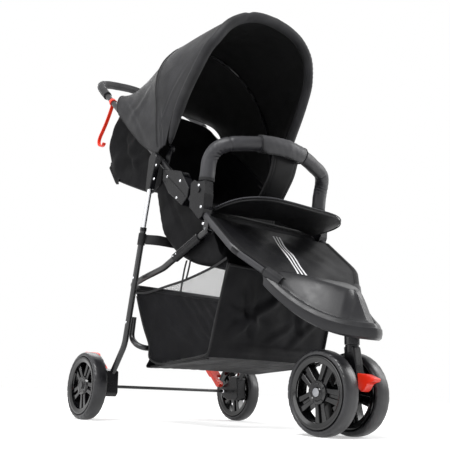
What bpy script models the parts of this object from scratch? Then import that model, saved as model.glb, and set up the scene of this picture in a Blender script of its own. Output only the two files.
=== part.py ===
"""Three-wheel stroller, in its pushing position. Forward is -Y, up is +Z and the child's left is +X.

Sizes are in millimetres with y = 0 on the rear axle; world() moves them to metres about the footprint's middle.
"""

import math

import bmesh
import bpy
import numpy as np
from mathutils import Vector

for stale in list(bpy.data.objects):
    bpy.data.objects.remove(stale)

MM = 0.001
AXLE_Y = 206.65  # rear axle behind the footprint's middle
GAP = 0.3  # clearance between pieces that touch
SIDES = (("left", 1.0), ("right", -1.0))

# Wheels
WHEEL_R = 82.5
WHEEL_W = 36.0
REAR_X = 242.5
FRONT_X = 44.0
FRONT_Y = -626.0
AXLE_PIN_R = 4.0
RIM_SEAT_R = 66.0
RIM_LIP_R = 69.7
HUB_R = 21.5
SPOKES = 5
SPOKE_W = 25.0

# Frame, side view (y, z)
TUBE_X = 183.0
FOLD = (-315.0, 538.5)  # fold hinge, where the front tube meets the push tube
PUSH_DIR = (0.7455, 0.6665)
PUSH_R = 8.75
FRONT_R = 8.5
FRONT_BEND = (-512.0, 364.0)
RAIL_START = (128.0, -566.0, 310.0)
LEG_TOP = (-199.4, 641.8)  # rear leg's pivot, on the push tube's axis
LEG_BEND = (-110.0, 182.0)
LEG_FOOT = (-36.0, 88.0)
LEG_R = 7.35
LEG_X_LOW, LEG_X_TOP = 203.0, 205.4
SILVER_Z = 470.0
SILVER_R = 6.0
LINK_FRONT = (-417.0, 423.5)  # link's pivot on the front tube
LINK_LEG = (-142.0, 350.0)  # link's pivot on the rear leg
LINK_X = 181.5
LINK_R = 7.75
FORK_Y = -666.0
FORK_R = 9.0
CANOPY_PIVOT = (-218.0, 674.0)
GRIP_R = 13.0
BACK_HINGE = (-147.9, 584.5)
CALF_HINGE = (-397.0, 470.3)

MATERIALS = {
    "black_steel": (0.020, 0.020, 0.022, 1.0, 0.38),
    "silver_steel": (0.62, 0.62, 0.63, 1.0, 0.25),
    "zinc_steel": (0.45, 0.45, 0.46, 1.0, 0.35),
    "black_plastic": (0.030, 0.030, 0.033, 0.0, 0.55),
    "gloss_plastic": (0.012, 0.012, 0.013, 0.0, 0.25),
    "red_plastic": (0.70, 0.03, 0.02, 0.0, 0.35),
    "tyre_rubber": (0.035, 0.035, 0.037, 0.0, 0.75),
    "grip_foam": (0.025, 0.025, 0.027, 0.0, 0.90),
    "black_fabric": (0.018, 0.018, 0.020, 0.0, 0.85),
    "dark_mesh": (0.045, 0.045, 0.048, 0.0, 0.90),
    "pad_leather": (0.045, 0.045, 0.050, 0.0, 0.55),
}


def material(name):
    made = bpy.data.materials.get(name)
    if made is None:
        made = bpy.data.materials.new(name)
        made.use_nodes = True
        shader = made.node_tree.nodes["Principled BSDF"]
        r, g, b, metal, rough = MATERIALS[name]
        shader.inputs["Base Color"].default_value = (r, g, b, 1.0)
        shader.inputs["Metallic"].default_value = metal
        shader.inputs["Roughness"].default_value = rough
        made.diffuse_color = (r, g, b, 1.0)
    return made


def world(points):
    return (np.asarray(points, float).reshape(-1, 3) + (0.0, AXLE_Y, 0.0)) * MM


# Mesh building


def solid(name, points, faces, slot="black_steel"):
    """A mesh object from points in millimetres, its faces turned outward."""
    mesh = bpy.data.meshes.new(name)
    mesh.from_pydata([tuple(p) for p in world(points)], [], [tuple(f) for f in faces])
    work = bmesh.new()
    work.from_mesh(mesh)
    bmesh.ops.remove_doubles(work, verts=work.verts, dist=1e-6)
    bmesh.ops.recalc_face_normals(work, faces=work.faces)
    if work.calc_volume(signed=True) < 0:
        bmesh.ops.reverse_faces(work, faces=work.faces)
    work.to_mesh(mesh)
    work.free()
    mesh.materials.append(material(slot))
    made = bpy.data.objects.new(name, mesh)
    bpy.context.scene.collection.objects.link(made)
    return made


def combine(base, tool, operation):
    """Applies one exact Boolean to base, and removes the tool."""
    step = base.modifiers.new("step", "BOOLEAN")
    step.operation = operation
    step.solver = "EXACT"
    step.object = tool
    bpy.context.view_layer.update()
    graph = bpy.context.evaluated_depsgraph_get()
    mesh = bpy.data.meshes.new_from_object(base.evaluated_get(graph), depsgraph=graph)
    base.modifiers.clear()
    base.data = mesh
    bpy.data.objects.remove(tool)
    return base


def fuse(first, *others):
    for other in others:
        combine(first, other, "UNION")
    return first


def cut(base, *tools):
    for tool in tools:
        combine(base, tool, "DIFFERENCE")
    return base


def bent(corners, radii, arc_step=28.0):
    """A path through the corners with each inner corner rounded to its radius."""
    corners = [np.asarray(c, float) for c in corners]
    path = [corners[0]]
    for before, here, after, radius in zip(corners, corners[1:], corners[2:], radii, strict=False):
        a, b = before - here, after - here
        a, b = a / np.linalg.norm(a), b / np.linalg.norm(b)
        turn = math.pi - math.acos(np.clip(a @ b, -1, 1))
        if turn < 0.02 or radius <= 0:
            path.append(here)
            continue
        reach = radius * math.tan(turn / 2)
        middle = a + b
        centre = here + middle / np.linalg.norm(middle) * radius / math.cos(turn / 2)
        start, end = here + a * reach - centre, here + b * reach - centre
        steps = max(2, round(math.degrees(turn) / arc_step))
        for k in range(steps + 1):
            t = k / steps
            point = math.sin((1 - t) * turn) * start + math.sin(t * turn) * end
            path.append(centre + point / math.sin(turn))
    path.append(corners[-1])
    return path


def spline(points, count):
    """Evenly stepped points of a smooth curve through all the given points."""
    p = np.asarray(points, float)
    p = np.vstack([2 * p[0] - p[1], p, 2 * p[-1] - p[-2]])
    fine = []
    for i in range(1, len(p) - 2):
        for t in np.linspace(0, 1, 24, endpoint=False):
            fine.append(
                0.5
                * (
                    2 * p[i]
                    + (p[i + 1] - p[i - 1]) * t
                    + (2 * p[i - 1] - 5 * p[i] + 4 * p[i + 1] - p[i + 2]) * t**2
                    + (3 * p[i] - p[i - 1] - 3 * p[i + 1] + p[i + 2]) * t**3
                )
            )
    fine = np.array([*fine, p[-2]])
    along = np.concatenate([[0], np.cumsum(np.linalg.norm(np.diff(fine, axis=0), axis=1))])
    wanted = np.linspace(0, along[-1], count)
    return np.stack([np.interp(wanted, along, fine[:, k]) for k in range(p.shape[1])], 1)


def mirrored(half):
    """Both halves of a path whose first half ends on x = 0."""
    half = np.asarray(half, float)
    return np.vstack([half, half[-2::-1] * (-1, 1, 1)])


def frames(path, up):
    """Tangent, side and normal at each path point, carried along without twist."""
    path = np.asarray(path, float)
    tangent = np.gradient(path, axis=0)
    tangent[0], tangent[-1] = path[1] - path[0], path[-1] - path[-2]
    tangent /= np.linalg.norm(tangent, axis=1)[:, None]
    normal = [np.asarray(up, float)]
    for t in tangent:
        n = normal[-1] - t * (normal[-1] @ t)
        normal.append(n / np.linalg.norm(n))
    normal = np.array(normal[1:])
    return tangent, np.cross(tangent, normal), normal


def tube(name, path, radius, slot="black_steel", sides=12, up=(0.13, 0.2, 0.97), flat=1.0):
    """A capped round bar along the path. radius is one number or one for each path point."""
    path = np.asarray(path, float)
    radius = np.broadcast_to(np.asarray(radius, float), (len(path),))
    _, side, normal = frames(path, up)
    turn = np.arange(sides) * 2 * math.pi / sides
    points = [
        p + r * (math.cos(a) * s + flat * math.sin(a) * n)
        for p, r, s, n in zip(path, radius, side, normal, strict=True)
        for a in turn
    ]
    faces = []
    for k in range(len(path) - 1):
        for j in range(sides):
            a, b = k * sides + j, k * sides + (j + 1) % sides
            faces.append((a, b, b + sides, a + sides))
    faces.append(tuple(range(sides)))
    faces.append(tuple(range((len(path) - 1) * sides, len(path) * sides)))
    return solid(name, points, faces, slot)


def rod(name, start, end, radius, slot="black_steel", sides=12):
    return tube(name, [start, end], radius, slot, sides)


def prism(name, outline, x0, x1, slot="black_plastic", chamfer=0.0):
    """The (y, z) outline between two x planes, with its rims chamfered."""
    outline = np.asarray(outline, float)
    inner = outline
    if chamfer:
        ahead = np.roll(outline, -1, 0) - outline
        behind = outline - np.roll(outline, 1, 0)
        wind = math.copysign(1, np.sum(outline[:, 0] * np.roll(outline[:, 1], -1) - outline[:, 1] * np.roll(outline[:, 0], -1)))
        na = np.stack([-ahead[:, 1], ahead[:, 0]], 1) / np.linalg.norm(ahead, axis=1)[:, None] * wind
        nb = np.stack([-behind[:, 1], behind[:, 0]], 1) / np.linalg.norm(behind, axis=1)[:, None] * wind
        mid = na + nb
        mid /= np.maximum(np.sum(mid * na, 1), 0.4)[:, None]
        inner = outline + mid * chamfer
    low, high = min(x0, x1), max(x0, x1)
    levels = [(low, inner), (low + chamfer, outline), (high - chamfer, outline), (high, inner)]
    if not chamfer:
        levels = [levels[0], levels[3]]
    n = len(outline)
    points = [(x, y, z) for x, ring in levels for y, z in ring]
    faces = [
        (k * n + j, k * n + (j + 1) % n, (k + 1) * n + (j + 1) % n, (k + 1) * n + j)
        for k in range(len(levels) - 1)
        for j in range(n)
    ]
    faces += [tuple(range(n)), tuple(range((len(levels) - 1) * n, len(levels) * n))]
    return solid(name, points, faces, slot)


def lathe(name, profile, centre, slot, steps=48):
    """The closed (x, r) profile turned round the x axis through centre."""
    n = len(profile)
    points, faces = [], []
    for k in range(steps):
        a = 2 * math.pi * k / steps
        points += [(centre[0] + x, centre[1] + r * math.cos(a), centre[2] + r * math.sin(a)) for x, r in profile]
        m = (k + 1) % steps
        faces += [(k * n + j, k * n + (j + 1) % n, m * n + (j + 1) % n, m * n + j) for j in range(n)]
    return solid(name, points, faces, slot)


def sheet(name, grid, thickness, slot="black_fabric"):
    """A closed sheet: the rows-by-columns grid of points is its middle surface."""
    grid = np.asarray(grid, float)
    rows, cols = grid.shape[:2]
    along, across = np.gradient(grid, axis=0), np.gradient(grid, axis=1)
    normal = np.cross(along, across)
    normal /= np.maximum(np.linalg.norm(normal, axis=2), 1e-9)[..., None]
    half = np.asarray(thickness, float) / 2
    half = half[..., None] if half.ndim else half
    points = np.concatenate([(grid + normal * half).reshape(-1, 3), (grid - normal * half).reshape(-1, 3)])
    size = rows * cols
    faces = []
    for i in range(rows - 1):
        for j in range(cols - 1):
            a, b, c, d = i * cols + j, i * cols + j + 1, (i + 1) * cols + j + 1, (i + 1) * cols + j
            for one, two, three in ((a, b, c), (a, c, d)):
                faces += [(one, two, three), (three + size, two + size, one + size)]
    rim = [i * cols for i in range(rows)]
    rim += [(rows - 1) * cols + j for j in range(1, cols)]
    rim += [i * cols + cols - 1 for i in range(rows - 2, -1, -1)]
    rim += list(range(cols - 2, 0, -1))
    for a, b in zip(rim, rim[1:] + rim[:1], strict=True):
        faces.append((a, b, b + size, a + size))
    return solid(name, points, faces, slot)


def arc(centre, radius, start, end, count):
    """(y, z) points of an arc, angles in degrees."""
    return [
        (centre[0] + radius * math.cos(math.radians(a)), centre[1] + radius * math.sin(math.radians(a)))
        for a in np.linspace(start, end, count)
    ]


def on_push(length, offset=0.0):
    """(y, z) at this length up the push tube from the fold hinge, and this far above its axis."""
    return (
        FOLD[0] + length * PUSH_DIR[0] - offset * PUSH_DIR[1],
        FOLD[1] + length * PUSH_DIR[1] + offset * PUSH_DIR[0],
    )


def on_leg(z):
    """(x, y, z) of the rear leg's axis at this height."""
    t = (z - LEG_BEND[1]) / (LEG_TOP[1] - LEG_BEND[1])
    return (
        LEG_X_LOW + t * (LEG_X_TOP - LEG_X_LOW),
        LEG_BEND[0] + t * (LEG_TOP[0] - LEG_BEND[0]),
        z,
    )


def bore(radius, sides=12):
    """Radius of a many-sided hole that a round of this radius passes through with clearance."""
    return (radius + GAP) / math.cos(math.pi / sides)


def flip(points, side):
    return [(side * x, y, z) for x, y, z in points]


# Wheels


def wheel(kind, name, x, y):
    rim_half = [(14, bore(AXLE_PIN_R)), (14, 18.5), (8, 23), (8, 58.5), (17, 63.5), (17.5, 69), (15.6, RIM_LIP_R)]
    rim_half += [(13, RIM_SEAT_R)]
    rim_profile = rim_half + [(-a, r) for a, r in reversed(rim_half)]
    centre = (x, y, WHEEL_R)
    rim = lathe(f"{kind}_rim_{name}", rim_profile, centre, "gloss_plastic", 24)
    windows = []
    half = SPOKE_W / 2
    tip = half / math.sin(math.pi / SPOKES) + 4.5
    for k in range(SPOKES):
        mid = 2 * math.pi * (k + 0.5) / SPOKES + math.radians(46)
        side = math.pi / SPOKES - math.asin(half / 57.5)
        shape = [(tip, -0.06), (tip, 0.06)]
        shape += [(57.5, side * s) for s in (1, 0.33, -0.33, -1)]
        windows.append([(y + r * math.cos(mid + a), WHEEL_R + r * math.sin(mid + a)) for r, a in shape])
    for outline in windows:
        cut(rim, prism("window", outline, x - 12, x + 12))
    tyre_half = [(12.7, RIM_SEAT_R + GAP + 0.6), (15.2, RIM_LIP_R + 0.8), (18, 74), (16.5, 79.2), (6.5, WHEEL_R)]
    tyre_profile = tyre_half + [(-a, r) for a, r in reversed(tyre_half)]
    tyre = lathe(f"{kind}_tyre_{name}", tyre_profile, centre, "tyre_rubber", 32)
    return rim, tyre


wheels = {}
for name, side in SIDES:
    wheels["rear_" + name] = wheel("rear", name, side * REAR_X, 0.0)
    wheels["front_" + name] = wheel("front", name, side * FRONT_X, FRONT_Y)

# Front frame


def front_tube_path(side):
    start = (TUBE_X, FOLD[0] - 16 * PUSH_DIR[0], FOLD[1] - 16 * PUSH_DIR[1])
    bend = (TUBE_X, *FRONT_BEND)
    end = np.array(RAIL_START)
    end = end + (end - bend) / np.linalg.norm(end - bend) * 16
    return flip(bent([start, bend, end], [60]), side)


front_tubes = [tube(f"front_tube_{name}", front_tube_path(side), FRONT_R, sides=14) for name, side in SIDES]

NOSE = (0.0, -729.0)
NOSE_TOP_Z, NOSE_LOW_Z = 221.0, 182.0
RAIL_OUT_X, RAIL_BACK_Y = 142.0, -558.0


def nose_edge(u):
    """Outer plan edge of the moulding: u from -1 (child's right) through the nose to 1."""
    x = RAIL_OUT_X * u
    return x, NOSE[1] + (RAIL_BACK_Y - NOSE[1]) * (0.45 * abs(u) ** 1.35 + 0.55 * abs(u) ** 2.2)


def slope_z(y, near_nose, at_back):
    t = (y - NOSE[1]) / (RAIL_BACK_Y - NOSE[1])
    return near_nose + (at_back - near_nose) * t


def bump(t):
    t = np.clip(t, 0, 1)
    return t * t * (3 - 2 * t)


def rail_low_z(y):
    """Height of the rail's lower edge, which bellies down toward the nose."""
    t = np.clip((y - NOSE[1]) / (RAIL_BACK_Y - NOSE[1]), 0, 1)
    return NOSE_LOW_Z + (286.0 - NOSE_LOW_Z) * t**1.9


def moulding_top(x, y, inward):
    """Height of the moulding's top: a raised rail round the edge and a foot hump in the middle."""
    rail = slope_z(y, NOSE_TOP_Z, 316.0) - 7.0 * bump(1 - inward / 6.0)
    tray = slope_z(y, NOSE_TOP_Z - 2.0, 300.0)
    base = rail + (tray - rail) * bump((inward - 17) / 8)
    reach = ((x / 88.0) ** 2 + ((y + 655.0) / 66.0) ** 2) ** 0.5
    ridge = slope_z(y, 262.0, 318.0)
    hump = (ridge - base) * bump((1.02 - reach) / 0.42)
    return base + max(hump, 0.0)


def footrest_moulding():
    us = np.linspace(-1, 1, 23)
    ins = np.array([1.0, 0.93, 0.82, 0.68, 0.48, 0.24])
    points, index = [], {}

    def add(key, p):
        if key not in index:
            index[key] = len(points)
            points.append(p)
        return index[key]

    rows = []
    for i, u in enumerate(us):
        edge = np.array(nose_edge(u))
        spine = np.array([0.0, max(edge[1] + 12, -672.0) if abs(u) < 0.75 else edge[1] - 6])
        spine[1] = min(spine[1], -585.0)
        top, low = [], []
        for j, s in enumerate(ins):
            p = spine + (edge - spine) * s
            inward = np.linalg.norm(edge - p)
            x, y = p
            top.append(add(("t", i, j), (x, y, moulding_top(x, y, inward))))
            low.append(add(("b", i, j), (x * 0.985, y + 2, rail_low_z(y) + (3.0 if j == 0 else 0.0))))
        x, y = spine
        top.append(add(("t", "s", round(y, 2)), (x, y, moulding_top(x, y, 99.0))))
        low.append(add(("b", "s", round(y, 2)), (x, y + 2, rail_low_z(y))))
        rows.append((top, low))
    faces = []
    for (t0, b0), (t1, b1) in zip(rows, rows[1:]):
        for j in range(len(ins)):
            faces.append((t0[j], t0[j + 1], t1[j + 1], t1[j]))
            faces.append((b0[j], b1[j], b1[j + 1], b0[j + 1]))
        faces.append((t0[0], t1[0], b1[0], b0[0]))
    for top, low in (rows[0], rows[-1]):
        for j in range(len(ins)):
            faces.append((top[j], top[j + 1], low[j + 1], low[j]))
    faces = [tuple(dict.fromkeys(f)) for f in faces]
    return solid("footrest_moulding", points, [f for f in faces if len(f) > 2], "black_plastic")




def ring(name, path, outer, inner, slot, sides=16, up=(0.13, 0.2, 0.97)):
    """A sleeve: the path swept by a ring, open at both ends."""
    path = np.asarray(path, float)
    outer = np.broadcast_to(np.asarray(outer, float), (len(path),))
    _, side, normal = frames(path, up)
    turn = np.arange(sides) * 2 * math.pi / sides
    points = []
    for k, p in enumerate(path):
        for r in (outer[k], inner):
            points += [p + r * (math.cos(a) * side[k] + math.sin(a) * normal[k]) for a in turn]
    faces = []
    last = len(path) - 1
    for k in range(len(path)):
        for j in range(sides):
            n = (j + 1) % sides
            out_a, out_b = 2 * k * sides + j, 2 * k * sides + n
            in_a, in_b = out_a + sides, out_b + sides
            if k < last:
                faces.append((out_a, out_b, out_b + 2 * sides, out_a + 2 * sides))
                faces.append((in_b, in_a, in_a + 2 * sides, in_b + 2 * sides))
            if k in (0, last):
                faces.append((out_a, out_b, in_b, in_a))
    return solid(name, points, faces, slot)


def shell(name, top, bottom, slot="black_fabric"):
    """A closed solid between two grids of the same size."""
    top, bottom = np.asarray(top, float), np.asarray(bottom, float)
    rows, cols = top.shape[:2]
    size = rows * cols
    faces = []
    for i in range(rows - 1):
        for j in range(cols - 1):
            a, b, c, d = i * cols + j, i * cols + j + 1, (i + 1) * cols + j + 1, (i + 1) * cols + j
            for one, two, three in ((a, b, c), (a, c, d)):
                faces += [(one, two, three), (three + size, two + size, one + size)]
    rim = [i * cols for i in range(rows)]
    rim += [(rows - 1) * cols + j for j in range(1, cols)]
    rim += [i * cols + cols - 1 for i in range(rows - 2, -1, -1)]
    rim += list(range(cols - 2, 0, -1))
    for a, b in zip(rim, rim[1:] + rim[:1], strict=True):
        faces.append((a, b, b + size, a + size))
    return solid(name, np.concatenate([top.reshape(-1, 3), bottom.reshape(-1, 3)]), faces, slot)


def ribbon(path, half):
    """Outline of a strip of this half-width along a (y, z) path."""
    path = np.asarray(path, float)
    along = np.gradient(path, axis=0)
    along /= np.linalg.norm(along, axis=1)[:, None]
    across = np.stack([-along[:, 1], along[:, 0]], 1) * half
    return np.vstack([path + across, (path - across)[::-1]])


moulding = footrest_moulding()
fuse(moulding, rod("boss", (0, FORK_Y, 180), (0, FORK_Y, 226), 15, sides=14))
for _, side in SIDES:
    path = np.array(front_tube_path(side))
    path[-1] += (path[-1] - path[-2]) / np.linalg.norm(path[-1] - path[-2]) * 2
    cut(moulding, tube("socket", path, bore(FRONT_R), sides=14))
FORK_TOP_Z, FORK_LOW_Z = 214.0, 100.0
cut(moulding, rod("socket", (0, FORK_Y, 150), (0, FORK_Y, FORK_TOP_Z + 1), bore(FORK_R), sides=14))
fork = tube("fork_tube", [(0, FORK_Y, FORK_LOW_Z), (0, FORK_Y, FORK_TOP_Z)], FORK_R, sides=14)

# Swivelling front unit
PIN_R = 3.0
AXLE_Z = WHEEL_R
swivel = prism(
    "swivel_block",
    [(FORK_Y + y, z) for y, z in ((-18, 106), (-18, 158), (-12, 166), (12, 166), (21, 140), (19, 104), (-2, 88))],
    -17, 17, chamfer=3,
)
fuse(swivel, prism("arm", ribbon([(FORK_Y, 122), (FRONT_Y - 4, AXLE_Z + 4), (FRONT_Y, AXLE_Z)], 15.5), -17, 17, chamfer=2))
fuse(swivel, rod("hub", (-24, FRONT_Y, AXLE_Z), (24, FRONT_Y, AXLE_Z), 13, sides=14))
LEVER_PIN = (FORK_Y - 26.0, 112.0)
for side in (-1, 1):
    lug = [(FORK_Y + y, z) for y, z in ((-14, 100), (-28, 103), (-33, 110), (-31, 118), (-14, 122))]
    fuse(swivel, prism("lug", lug, side * 9.3, side * 14))
cut(swivel, rod("bore", (0, FORK_Y, FORK_LOW_Z - 1), (0, FORK_Y, 190), bore(FORK_R), sides=14))
cut(swivel, rod("bore", (-40, FRONT_Y, AXLE_Z), (40, FRONT_Y, AXLE_Z), bore(AXLE_PIN_R)))
fuse(swivel, rod("pin", (-12, *LEVER_PIN), (12, *LEVER_PIN), 2.2))
front_axle = rod("front_axle", (-59, FRONT_Y, AXLE_Z), (59, FRONT_Y, AXLE_Z), AXLE_PIN_R, "zinc_steel")
for side in (-1, 1):
    fuse(front_axle, rod("cap", (side * 58.4, FRONT_Y, AXLE_Z), (side * 61, FRONT_Y, AXLE_Z), 8.5, sides=14))
lever = prism("swivel_lock_lever", arc(LEVER_PIN, 6.5, 100, 260, 9) + [(-700, 100), (-700, 120)], -8.9, 8.9, "red_plastic")
fuse(lever, prism("paddle", [(-700, 100), (-712, 91), (-722, 92), (-736, 106), (-735, 110), (-712, 121), (-700, 121)],
    -14, 14, "red_plastic", 2))
cut(lever, rod("bore", (-20, *LEVER_PIN), (20, *LEVER_PIN), bore(2.2)))

# Rear frame

PEDAL = (4.0, 101.0)


def leg_path(side, low, high, low_cut=True):
    foot = (LEG_X_LOW, *LEG_FOOT)
    bend = (LEG_X_LOW, *LEG_BEND)
    path = [p for p in bent([foot, bend, on_leg(470)], [70])]
    if not low_cut:
        path = [on_leg(low)]
    path[-1] = np.array(on_leg(high))
    return flip(path, side)


for name, side in SIDES:
    leg_axis = leg_path(side, 0, SILVER_Z)
    leg = tube(f"rear_leg_{name}", leg_axis, LEG_R, sides=14)
    silver_low, silver_high = flip([on_leg(432), on_leg(612)], side)
    cut(leg, rod("bore", flip([on_leg(431)], side)[0], flip([on_leg(480)], side)[0], bore(SILVER_R)))
    rod(f"rear_leg_upper_{name}", silver_low, silver_high, SILVER_R, "silver_steel", 20)

    plate = arc(LEG_TOP, 19, -10, 190, 12)
    plate += [(-206, 600), (-196, 566), (-175, 566), (-177, 600)]
    bracket = prism(f"leg_top_bracket_{name}", plate, side * 197.5, side * 212.6, "black_plastic", 1.5)
    fuse(bracket, rod("boss", (side * 192.1, *LEG_TOP), (side * 200, *LEG_TOP), 11, sides=14))
    cut(bracket, rod("bore", flip([on_leg(550)], side)[0], flip([on_leg(613)], side)[0], bore(SILVER_R), sides=14))
    fuse(bracket, rod("pin", (side * 175.5, *LEG_TOP), (side * 194, *LEG_TOP), PIN_R))

    outline = [(-73, 112), (-71, 124), (-60, 134), (-46, 131), (-12, 117), (10, 112), (18, 98), (18, 74), (8, 62)]
    outline += [(-20, 60), (-54, 68), (-66, 84)]
    housing = prism(f"wheel_housing_{name}", outline, side * 187, side * 222.6, "black_plastic", 2.5)
    below = np.array(leg_axis[0]) - (np.array(leg_axis[1]) - leg_axis[0]) / np.linalg.norm(
        np.array(leg_axis[1]) - leg_axis[0]) * 0.5
    cut(housing, tube("bore", [below, *leg_axis], bore(LEG_R), sides=14))
    cut(housing, rod("bore", (side * 160, 0, AXLE_Z), (side * 230, 0, AXLE_Z), bore(AXLE_PIN_R)))
    fuse(housing, rod("pin", (side * 169, *PEDAL), (side * 190, *PEDAL), 2.5))
    arm = arc(PEDAL, 8.5, 130, 340, 12) + [(36, 118), (66, 146), (84, 163), (84, 168), (70, 171), (44, 150), (20, 126)]
    pedal = prism(f"brake_pedal_{name}", arm, side * 170.2, side * 186.7, "red_plastic", 1.5)
    cut(pedal, rod("bore", (side * 170, *PEDAL), (side * 200, *PEDAL), bore(2.5)))

cross_half = bent([(185.5, -115, 252), (185.5, -109, 200), (185.5, -150, 176), (0, -151, 176)], [22, 22])
cross_path = mirrored(cross_half)
cross = tube("lower_cross_tube", cross_path, 6.9, sides=10)
for side in (-1, 1):
    fuse(cross, rod("pad", (side * 184, -114, 236), (side * 195.2, -114, 236), 5.5))

axle = rod("axle_rod", (-258, 0, AXLE_Z), (258, 0, AXLE_Z), AXLE_PIN_R, "zinc_steel")
for side in (-1, 1):
    fuse(axle, rod("cap", (side * 256.9, 0, AXLE_Z), (side * 259.5, 0, AXLE_Z), 8.5, sides=14))

band_rows = []
band_path = mirrored(bent([(196.6, -165, 0), (164, -180, 0), (0, -180, 0)], [30]))
band = sheet("back_support_band", [[(x, y, z) for z in (426, 441, 456)] for x, y, _ in band_path], 2.2)
for side in (-1, 1):
    low, high = flip([on_leg(425), on_leg(457)], side)
    loop = ring("loop", [low, high], 10.4, bore(LEG_R), "black_fabric")
    fuse(band, loop)

# Push frame
HANDLE = [(183, 600), (183.5, 660), (180, 712), (165, 752), (140, 778), (113.7, 796.5), (72.4, 817.6), (36, 833), (0, 838)]
handle_half = spline([(x, *on_push(length)) for x, length in HANDLE], 10)
push_half = [np.array((TUBE_X, *on_push(length))) for length in (0.0, 155.0, 300.0, 450.0)] + list(handle_half)
push = tube("push_tube", mirrored(push_half), PUSH_R, sides=10)
for side in (-1, 1):
    fuse(push, rod("eye", (side * 175, *FOLD), (side * 191, *FOLD), PUSH_R, sides=14))
    cut(push, rod("bore", (side * 170, *FOLD), (side * 196, *FOLD), bore(PIN_R)))
    cut(push, rod("bore", (side * 170, *LEG_TOP), (side * 196, *LEG_TOP), bore(PIN_R)))
ring("handle_grip", mirrored(handle_half[1:]), GRIP_R, bore(PUSH_R, 10), "grip_foam", 10)

for name, side in SIDES:
    bar = arc(CANOPY_PIVOT, 10, 10, 190, 10) + [(-213, 630), (-194, 638)]
    bracket = prism(f"canopy_bracket_{name}", bar, side * 170.8, side * 173.9, "zinc_steel")
    fuse(bracket, rod("pin", (side * 159.6, *CANOPY_PIVOT), (side * 172, *CANOPY_PIVOT), PIN_R))

HOOK_AT = on_push(592)
hook_path = [(133.5, 924.5), (150, 884), (168, 856), (184, 846), (192, 832), (184, 814), (166, 804), (152, 806), (147, 815)]
hook = prism("transport_hook", ribbon(spline(hook_path, 24), 3.4), -188, -178, "red_plastic")
loop = ring("loop", [(-183, *on_push(587)), (-183, *on_push(597))], 12.9, bore(PUSH_R, 10), "red_plastic", 14)
fuse(hook, loop)

# Chassis fittings
for (name, side), front in zip(SIDES, front_tubes, strict=True):
    for x0, x1 in ((171.6, 173.4), (189.6, 191.4)):
        lug = [(-427, 436), (-412, 449), (-408, 423), (-417, 414), (-426, 421)]
        fuse(front, prism("lug", lug, side * x0, side * x1))
    fuse(front, rod("pin", (side * 172, *LINK_FRONT), (side * 191, *LINK_FRONT), PIN_R))

    shield = [(-228, 613), (-312, 585), (-350, 532), (-346, 513), (-323, 497), (-258, 545), (-230, 582)]
    cover = prism(f"fold_joint_cover_{name}", shield, side * 171.2, side * 196.6, "black_plastic", 1.2)
    slot = arc(FOLD, 9.3, 180, 311.8, 10)
    down = (math.cos(math.radians(311.8)), math.sin(math.radians(311.8)))
    slot += [(FOLD[0] + 9.3 * down[0] + 150 * PUSH_DIR[0], FOLD[1] + 9.3 * down[1] + 150 * PUSH_DIR[1])]
    slot += [(FOLD[0] + 60, FOLD[1] + 170), (FOLD[0] - 9.3, FOLD[1] + 150)]
    cut(cover, prism("slot", slot, side * 173.9, side * 192.05))
    back = np.array((side * TUBE_X, FOLD[0] - 15.7 * PUSH_DIR[0], FOLD[1] - 15.7 * PUSH_DIR[1]))
    cut(cover, rod("bore", back, back - np.array((0, *PUSH_DIR)) * 60, bore(FRONT_R)))
    fuse(cover, rod("pin", (side * 172, *FOLD), (side * 195, *FOLD), PIN_R))

    tongue_dir = np.array((0, -0.14, 0.99))
    end = np.array((side * 179.0, -397.0, 541.0))
    body = [(-355, 485), (-395, 449), (-407, 454), (-414, 470), (-416, 505), (-413, 537), (-381, 541), (-370, 548)]
    body += [(-357, 543), (-356, 515)]
    socket = prism(f"armrest_socket_{name}", body, side * 170.9, side * 196, "black_plastic", 1.5)
    cut(socket, tube("bore", front_tube_path(side)[:2], bore(FRONT_R), sides=14))
    cut(socket, rod("bore", end - tongue_dir * 26, end + tongue_dir * 20, bore(6.8)))
    cut(socket, rod("bore", (side * 188.2, -392, 518), (side * 199, -392, 518), bore(6)))
    button = rod(f"release_button_{name}", (side * 192.0, -392, 518), (side * 198.5, -392, 518), 6, "black_plastic", 20)

# Bumper bar
BUMPER = [(179, -397, 541), (179, -404, 588), (172, -418, 614), (150, -436, 628), (110, -449, 637), (60, -462, 645), (0, -468, 649)]
bumper_path = mirrored(spline(BUMPER, 11))
pad = tube("bumper_pad", bumper_path, 17.5, "pad_leather", 12)
for side in (-1, 1):
    end = np.array((side * 179.0, -397.0, 541.0))
    fuse(pad, rod("tongue", end - tongue_dir * 24, end + tongue_dir * 6, 6.8, sides=12))
cover_path = np.array([p for p in bumper_path if abs(p[0]) < 66])
ring("bumper_cover", cover_path, 21.8, bore(17.5), "pad_leather", 12)
strap_path = spline([(-466, 624.6), (-453, 585), (-424, 545), (-395, 512), (-383, 486), (-381, 470)], 8)
strap_x = np.linspace(-1, 1, 7)
strap = [[(34 * x, y, z) for x in strap_x] for y, z in strap_path]
thick = np.array([[10 * (1 - 0.5 * abs(x) ** 3) for x in strap_x] for _ in strap_path])
sheet("crotch_strap", strap, thick, "pad_leather")

# Link
link_half = bent([(LINK_X, *LINK_FRONT), (LINK_X, -236, 361), (LINK_X, -150, 349), (LINK_X, -76, 331), (0, -76, 331)], [90, 70, 34])
link = tube("link_tube", mirrored(link_half), LINK_R, sides=10)
for name, side in SIDES:
    fuse(link, rod("eye", (side * 174, *LINK_FRONT), (side * 189, *LINK_FRONT), LINK_R, sides=14))
    cut(link, rod("bore", (side * 170, *LINK_FRONT), (side * 194, *LINK_FRONT), bore(PIN_R)))
    a = np.array((side * LINK_X, *LINK_FRONT))
    b = np.array((side * LINK_X, -236.0, 361.0))
    ring(f"link_rail_{name}", [a + (b - a) * 0.18, a + (b - a) * 0.72], 10.9, bore(LINK_R, 10), "black_plastic", 12)

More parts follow.
